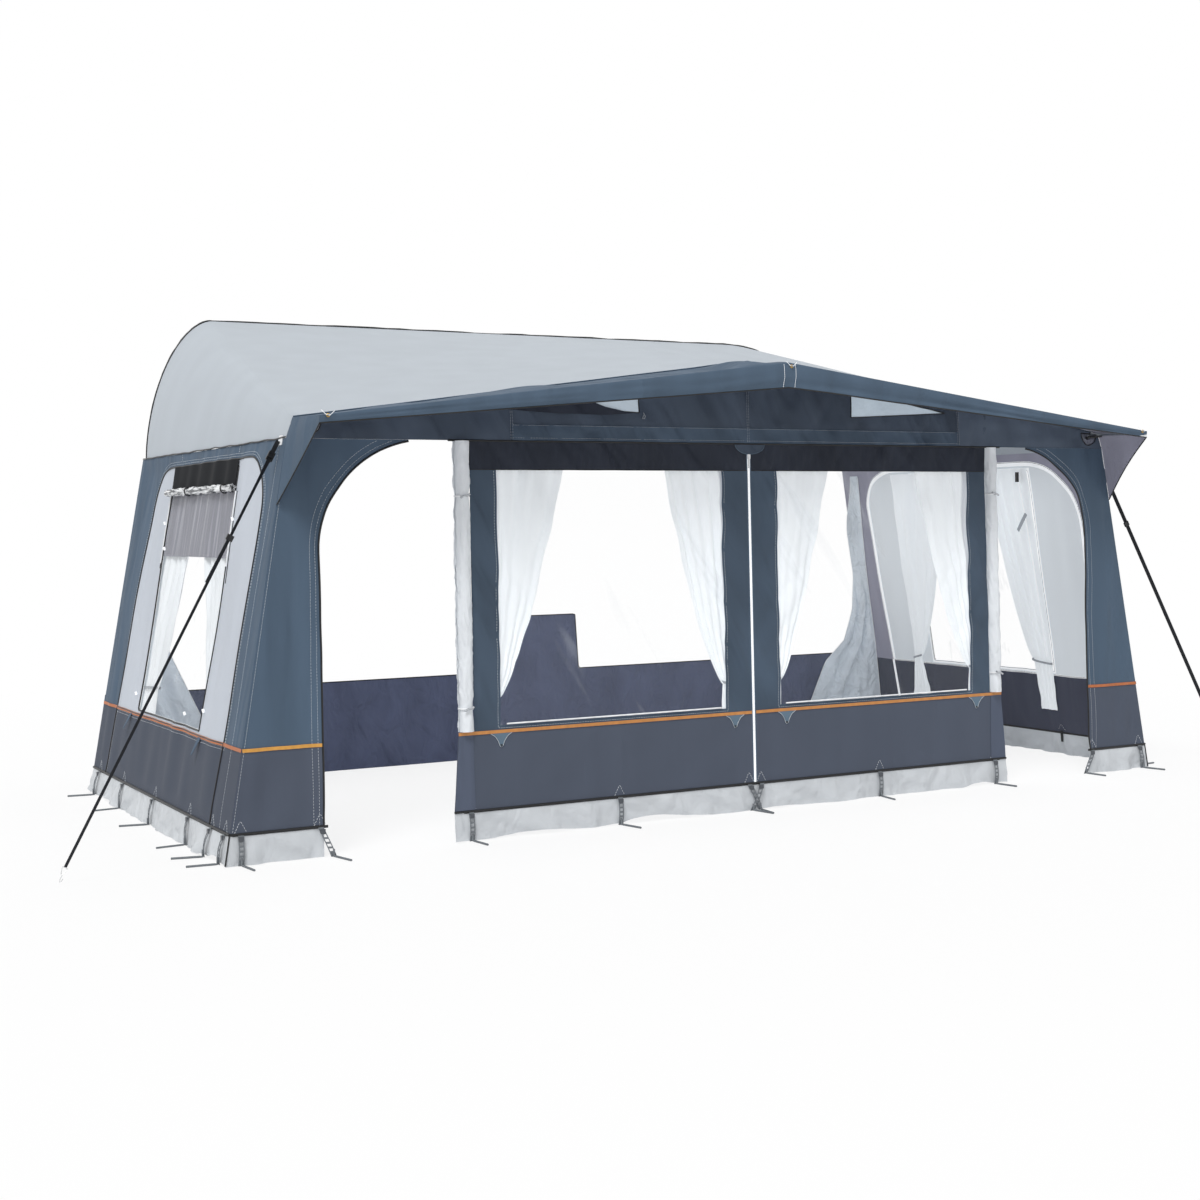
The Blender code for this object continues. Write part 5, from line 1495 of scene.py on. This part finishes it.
class AWNING_OT_blind(bpy.types.Operator):
    """Silver blind rolled up over the left window, the dark cloth over it and the mesh below."""
    bl_idname = "awning.blind"
    bl_label = "Blind"

    def execute(self, context):
        wall = on_side(-1)
        outward = Vector((-1, 0, RAKE)).normalized()
        z, radius, ties = 1.585, 0.019, (0.12, 0.66)
        front, back = SIDE_PANE[:2]
        ends = [Vector((-corner_x(z), FRONT_Y + run, z)) + outward * (CLOTH / 2 + GAP + radius)
                for run in (front - 0.01, back + 0.01)]
        rolled("rolled_blind_left", ends[0], ends[1], radius, 3, ties, "blind",
               "door_cloth", 71, ["side_blind_left"], crumple=3.4)
        loops = []
        for tie in ties:
            centre = ends[0].lerp(ends[1], tie)
            loops.append([centre + outward * 0.017 * out + Vector((0, 0, 0.020 * up))
                          for out, up in ring(16)])
        thin_lines("blind_ties_left", loops, 0.0032, "black", closed=True)
        flat_trim("blind_head_left", wall, [upright_band(front + 0.004, back - 0.004, 1.600, 1.719)],
                  "head", "dark_cloth", 0.0068)
        mesh = upright_band(front + 0.004, back - 0.004, 1.272, SIDE_PANE[3] - 0.004)
        sewn_panel("side_mesh_left", lambda run, z: wall(run, z, -0.0015), mesh, "dark_mesh",
                   "vent_mesh", step=(0.06, 0.06), thickness=0.0006)
        rods = [laid_line(wall, [(run, 1.575), (run, 1.235)], 0.004)
                for run in (front - 0.014, back + 0.014)]
        thin_lines("blind_rods_left", rods, 0.0042, "white")
        cords = [laid_line(wall, [(run, 1.575), (run, low)], 0.002)
                 for run, low in ((front - 0.035, 1.16), (back + 0.035, 1.21))]
        piping("blind_cords_left", cords, 0.0020)
        knobs = [wall(run, z, 0.006) for run, z in ((front - 0.05, 1.44), (back + 0.05, 1.43),
                                                    (front - 0.045, 0.585), (back + 0.06, 0.57),
                                                    (front + 0.30, 0.545), (back - 0.06, 1.30))]
        thin_lines("wall_toggles_left", [[k, k + Vector((-0.004, 0.002, 0.016))] for k in knobs], 0.0065,
                   "bright", rounding=2)
        # Slate tabs that hang off the wall at the window's foot
        for number, (run, wide) in enumerate(((front - 0.05, 0.045), (back + 0.10, 0.040))):
            cloth = cut_cloth([(run, 0.475), (run + wide, 0.475), (run + wide * 0.6, 0.395),
                               (run + wide * 0.25, 0.395)], (), (0.01, 0.01))
            drape(cloth, lambda across, up: wall(across, up, 0.003 + 0.35 * (0.475 - up)))
            tab = make_piece("wall_tab_left_%d" % number, cloth, "slate", "slate_cloth",
                             thickness=0.0015)
        return {"FINISHED"}


def make_curtain(name, place, edge, inward, widths, heights, seed, node):
    """Curtain gathered in soft folds to a tie at its outer edge, with the tie round it.

    widths are those at its top, its tie and its foot.
    """
    (top, tie, tail), (top_width, waist, foot_width) = heights, widths
    folds, deep = 5, sizes().curtain_fold

    def hang(share, z):
        loose = (max(0, z - tie) / (top - tie)) ** 0.72
        flare = max(0, tie - z) / (tie - tail)
        width = waist + (top_width - waist) * loose + (foot_width - waist) * flare
        phase = 2 * math.pi * folds * (share + 0.05 * wave(2.5 * share, 1.1 * z, seed))
        depth = 0.012 + (deep - 0.012) * loose
        swell = 0.55 + 0.45 * wave(3 * share, 1.2 * z, seed + 3)
        back = depth * ((1 - math.cos(phase)) / 2 * swell + 0.25 * wave(8 * share, 5 * z, seed + 6))
        drift = 0.006 * wave(3 * share, 5 * z, seed + 5) * loose - 0.6 * (foot_width - waist) * flare
        drift += 0.05 * foot_width * wave(5 * share, 16 * z, seed + 7) * flare
        run = edge + inward * (width * share + drift)
        return place(run, z, -CLOTH / 2 - 0.008 - max(back, -0.004))

    cloth = cut_cloth(upright_band(0, 1, tail, top), (), (1 / 64, 0.02))
    drape(cloth, hang)
    scale_flat(cloth, 0.75, 1)
    area = cloth_area(cloth)
    # The left wall's side curtains take the voile copy with less painted glow and more painted fold shade
    voile = "side_curtain" if "side_left" in name else "curtain"
    piece = make_piece(name, cloth, voile, "curtain_cloth", thickness=0.0008, replaces=[node])

    def round_waist(angle, up):
        run = edge + inward * (waist / 2 + (0.006 + waist / 2) * math.cos(angle))
        return place(run, tie + up + 0.010 * math.cos(angle), -0.020 + 0.017 * math.sin(angle))

    tape = cut_cloth(upright_band(0, 2 * math.pi, -0.006, 0.006), (), (math.pi / 12, 0.008))
    drape(tape, round_waist)
    make_piece(name + "_tie", tape, "tie", "curtain_cloth", thickness=0.0012)


class AWNING_OT_curtains(bpy.types.Operator):
    """Two tied curtains at each window."""
    bl_idname = "awning.curtains"
    bl_label = "Curtains"

    def execute(self, context):
        levels = (CURTAIN_TOP, 0.625, 0.484)
        outer, inner = (0.400, 0.050, 0.060), (0.370, 0.055, 0.065)
        # Edge along the wall, widths and heights of each side curtain
        hung = {
            "left": ((0.58, (0.52, 0.055, 0.085), (CURTAIN_TOP, 0.62, 0.50)),
                     (1.77, (0.56, 0.30, 0.33), (CURTAIN_TOP, 0.62, 0.50))),
            "right": ((0.63, (0.405, 0.15, 0.13), (CURTAIN_TOP, 0.56, 0.27)),
                      (1.90, (0.55, 0.07, 0.19), (CURTAIN_TOP, 0.52, 0.27))),
        }
        for side, sign in SIDES.items():
            wall = on_side(sign)
            (near, near_widths, near_levels), (far, far_widths, far_levels) = hung[side]
            rows = (
                ("front_%s_outer", on_front, sign * (PANE_OUTER + 0.050), -sign, outer, levels),
                ("front_%s_inner", on_front, sign * (PANE_INNER - 0.045), sign, inner, levels),
                ("side_%s_front", wall, near, 1, near_widths, near_levels),
                ("side_%s_back", wall, far, -1, far_widths, far_levels),
            )
            for number, (name, place, edge, inward, widths, heights) in enumerate(rows):
                wall_name, place_name = (name % side).split("_", 1)
                make_curtain("curtain_" + name % side, place, edge, inward, widths, heights,
                             81 + number + 7 * sign, wall_name + "_curtain_" + place_name)
        # Ladder's inner strap beside the right doorway, and its stitched triangle
        wall = on_side(1)
        strap = [(0.632, 0.146), (0.652, 0.146), (0.655, 0.080), (0.638, 0.080)]
        flat_trim("inner_ladder_strap", wall, [strap], "black_plastic", "ladder_plastic", -0.006)
        triangle = stitches(lambda run, z, out: wall(run, z, -0.003),
                            [(0.612, 0.152), (0.640, 0.188), (0.668, 0.152)])
        stitching("inner_ladder_stitching", triangle)
        # Spare tie of the right wall's front curtain: clip, cord and hanging tab
        cord = [wall(run, z, -0.050)
                for run, z in ((0.672, 1.64), (0.653, 1.43), (0.632, 1.05), (0.628, 0.60))]
        thin_lines("spare_tie_cord", [cord], 0.0024, "bright")
        clip = Matrix.Translation(wall(0.676, 1.655, -0.050))
        boxes("spare_tie_clip", [(clip, (0.012, 0.020, 0.058))], "black_plastic", "black_plastic")
        tab = [(0.634, 1.432), (0.650, 1.446), (0.733, 1.348), (0.717, 1.334)]
        flat_trim("spare_tie_tab", wall, [tab], "tie", "slate_cloth", -0.052)
        return {"FINISHED"}


class AWNING_OT_skirt(bpy.types.Operator):
    """Draught skirt along the back, with the wheel-arch cover."""
    bl_idname = "awning.skirt"
    bl_label = "Skirt"

    def execute(self, context):
        def place(x, z, out=0.0):
            fall = 1 - z / SKIRT_TOP
            fold = 0.005 * wave(3 * x, 1.5 * z, 91) + 0.003 * wave(11 * x, 2 * z, 93)
            fold += 0.002 * wave(30 * x, 7 * z, 94)
            flat = FRONT_Y + SIDE_FOOT + GAP + CLOTH / 2 - 0.001
            return Vector((x, flat + fold * (0.3 + 0.7 * fall), z))

        foot = [(-corner_x(0), MUD_FOOT), (corner_x(0), MUD_FOOT)]
        edge = [(corner_x(SKIRT_TOP), SKIRT_TOP), (0.345, SKIRT_TOP), (0.325, 0.85), (-0.40, 0.85),
                (-0.42, SKIRT_TOP), (-corner_x(SKIRT_TOP), SKIRT_TOP)]
        sewn_panel("skirt_cloth", place, foot + edge, "skirt", "skirt_cloth",
                   replaces=["draught_skirt"])
        piping("skirt_piping", [laid_line(place, edge, 0)], 0.0035)
        return {"FINISHED"}


class AWNING_OT_ladders(bpy.types.Operator):
    """Hem tapes and pegging ladders with their buckles, and ground pegs lying outwards."""
    bl_idname = "awning.ladders"
    bl_label = "Ladders"

    def execute(self, context):
        marks = []
        for name, (sign, places) in LADDERS.items():
            body = "ladders_" + name
            if name.startswith("front"):
                place, outward, along = on_front, Vector((0, -1, 0)), Vector((1, 0, 0))
            else:
                place, outward, along = on_side(sign), Vector((sign, 0, 0)), Vector((0, 1, 0))
            ends = (min(places) - 0.035, max(places) + 0.035)
            tape = cut_cloth(upright_band(*ends, 0.125, 0.137), (), (0.02, 0.006))
            drape(tape, lambda s, z: place(s, z, CLOTH / 2 + 0.0012))
            band = make_piece("hem_tape_" + name, tape, "black", "bead_black", body=body,
                              thickness=0.0016, replaces=["ladders_" + name])
            pegs, buckles = [], []
            for number, where in enumerate(places):
                skew = LADDER_SKEWS[number % len(LADDER_SKEWS)]
                total, half, rung = 0.128, 0.012, 0.0205
                lean = LADDER_LEANS.get(name, ())
                lean = lean[number] if lean else 0.1 * skew

                def lie(s, t, where=where, lean=lean, number=number):
                    slack = 0.010 * math.sin(math.pi * t / total)
                    point = place(where + s + lean * t / total, 0.130 - t,
                                  CLOTH / 2 + GAP + 0.002 + 0.004 * (number % 2))
                    return point + outward * slack

                slots = [upright_band(-half + 0.0045, half - 0.0045, low, low + 0.012)
                         for low in (0.030 + rung * i for i in range(4))]
                strip = cut_cloth(upright_band(-half, half, 0, total), slots, (0.006, 0.010))
                drape(strip, lie)
                make_piece("ladder_%s_%d" % (name, number), strip, "ladder",
                           "ladder_plastic", body=body, thickness=0.0030)
                foot = lie(0, total - 0.006)
                foot.z = 0.0055
                lying = outward + along * skew
                pegs.append([foot + Vector((0, 0, 0.030)) + outward * 0.004, foot + outward * 0.006]
                            + [foot + lying * LADDER_REACH * share for share in (0.12, 0.5, 0.92, 0.985)])
                matrix = turned_to(along, outward, along.cross(outward),
                                   lie(0, 0.016) + outward * 0.003)
                buckles.append((matrix, (0.024, 0.006, 0.018)))
                marks.append((place, [(where - 0.026, HEM + 0.006), (where, HEM + 0.056),
                                      (where + 0.026, HEM + 0.006)]))
            thin_lines("ground_pegs_" + name, pegs, 0.0048, "ladder", body=body)
            boxes("ladder_buckles_" + name, buckles, "grey_plastic", "ladder_plastic", body=body)
        threads = [dash for place, mark in marks for dash in stitches(place, mark)]
        stitching("ladder_stitching", threads, 1.4)
        return {"FINISHED"}


class AWNING_OT_fittings(bpy.types.Operator):
    """Finishes of the frame, levers, slider, buckles and hooks."""
    bl_idname = "awning.fittings"
    bl_label = "Fittings"

    def execute(self, context):
        kinds = {"clamp_lever": "black_plastic", "strap_buckle": "black_plastic", "strap_hook": "hook",
                 "zip_slider": "white", "upright": "steel", "pole": "steel", "beam": "steel",
                 "canopy_tube": "steel"}
        for name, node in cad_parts.items():
            if node.hide_render:
                continue
            kind = next((value for key, value in kinds.items() if key in name), None)
            if kind is None:
                raise RuntimeError("no finish for " + name)
            node.data.materials.clear()
            node.data.materials.append(FINISHES[kind])
        return {"FINISHED"}


class AWNING_OT_stage(bpy.types.Operator):
    """Pale floor, soft studio light and a white background."""
    bl_idname = "awning.stage"
    bl_label = "Stage"

    def execute(self, context):
        ground = bmesh.new()
        bmesh.ops.create_grid(ground, x_segments=1, y_segments=1, size=60)
        mesh = bpy.data.meshes.new("floor")
        ground.to_mesh(mesh)
        ground.free()
        floor = add_object("floor", mesh)
        floor.location.z = -0.0005
        material, shader = finish("pale_floor", linear("F4F4F4"), 0.9)
        tree = material.node_tree
        ray = add(tree, "ShaderNodeLightPath").outputs
        # Near the awning the floor shows its shadow; further out it turns into the white background
        where = add(tree, "ShaderNodeTexCoord").outputs["Object"]
        distance = add(tree, "ShaderNodeVectorMath", {0: where}, operation="LENGTH")
        whiteness = add(tree, "ShaderNodeMapRange", {"Value": distance.outputs["Value"], "From Min": 3.2,
                                                     "From Max": 7.5, "To Min": 0.80, "To Max": 1.0})
        share = add(tree, "ShaderNodeMath", {0: ray["Is Camera Ray"], 1: whiteness.outputs[0]},
                    operation="MULTIPLY")
        white = add(tree, "ShaderNodeEmission", {"Strength": 1.0})
        blend = add(tree, "ShaderNodeMixShader", {0: share.outputs[0], 1: shader.outputs[0],
                                                  2: white.outputs[0]})
        output = next(n for n in tree.nodes if n.type == "OUTPUT_MATERIAL")
        tree.links.new(blend.outputs[0], output.inputs["Surface"])
        mesh.materials.append(material)

        world = bpy.data.worlds.new("studio")
        context.scene.world = world
        world.use_nodes = True
        tree = world.node_tree
        tree.nodes.clear()
        ray = add(tree, "ShaderNodeLightPath").outputs
        first = add(tree, "ShaderNodeMath", {0: ray["Is Camera Ray"], 1: ray["Is Glossy Ray"]},
                    operation="MAXIMUM")
        seen = add(tree, "ShaderNodeMath", {0: first.outputs[0], 1: ray["Is Transmission Ray"]},
                   operation="MAXIMUM")
        light = add(tree, "ShaderNodeBackground", {"Color": (1, 1, 1, 1), "Strength": 0.55})
        shown = add(tree, "ShaderNodeBackground", {"Color": (1, 1, 1, 1), "Strength": 1.0})
        mixed = add(tree, "ShaderNodeMixShader", {0: seen.outputs[0], 1: light.outputs[0],
                                                  2: shown.outputs[0]})
        add(tree, "ShaderNodeOutputWorld", {"Surface": mixed.outputs[0]})

        sun = bpy.data.lights.new("soft_key", "SUN")
        sun.energy = 1.9
        sun.angle = math.radians(22)
        key = add_object("soft_key", sun)
        key.rotation_euler = (math.radians(36), 0, math.radians(-45))
        # The pale roof lets daylight through, which a soft lamp under it stands for
        glow = bpy.data.lights.new("roof_daylight", "AREA")
        glow.shape = "RECTANGLE"
        glow.size, glow.size_y = 4.2, 1.9
        glow.energy = 22
        lamp = add_object("roof_daylight", glow)
        lamp.location = (0, 0.15, 1.74)
        lamp.visible_camera = False
        lamp.visible_glossy = False
        context.scene.view_settings.view_transform = "Standard"
        return {"FINISHED"}


class AWNING_PT_panel(bpy.types.Panel):
    """Sizes, colours and pieces of the awning."""
    bl_idname = "AWNING_PT_panel"
    bl_label = "Caravan awning"
    bl_space_type = "VIEW_3D"
    bl_region_type = "UI"
    bl_category = "Awning"

    def draw(self, context):
        for group in (context.scene.awning_sizes, context.scene.awning_colours):
            box = self.layout.box()
            for name in group.__annotations__:
                box.prop(group, name)
        for operator in OPERATORS:
            self.layout.operator(operator.bl_idname)


GROUPS = (AwningSizes, AwningColours)
OPERATORS = (AWNING_OT_camera, AWNING_OT_storm_straps, AWNING_OT_roof, AWNING_OT_canopy,
             AWNING_OT_gable, AWNING_OT_columns, AWNING_OT_front_panels, AWNING_OT_door_rolls,
             AWNING_OT_zip, AWNING_OT_side_walls, AWNING_OT_rear_flaps, AWNING_OT_mud_walls,
             AWNING_OT_blind, AWNING_OT_curtains, AWNING_OT_skirt, AWNING_OT_ladders,
             AWNING_OT_fittings, AWNING_OT_stage)


def register():
    """Add the classes and the scene's settings."""
    for kind in (*GROUPS, *OPERATORS, AWNING_PT_panel):
        bpy.utils.register_class(kind)
    bpy.types.Scene.awning_sizes = bpy.props.PointerProperty(type=AwningSizes)
    bpy.types.Scene.awning_colours = bpy.props.PointerProperty(type=AwningColours)


def unregister():
    """Remove what register added."""
    del bpy.types.Scene.awning_sizes
    del bpy.types.Scene.awning_colours
    for kind in reversed((*GROUPS, *OPERATORS, AWNING_PT_panel)):
        bpy.utils.unregister_class(kind)


def main():
    """Make every piece in order."""
    register()
    make_finishes()
    for operator in OPERATORS:
        group, name = operator.bl_idname.split(".")
        getattr(getattr(bpy.ops, group), name)()


if __name__ == "__main__":
    main()
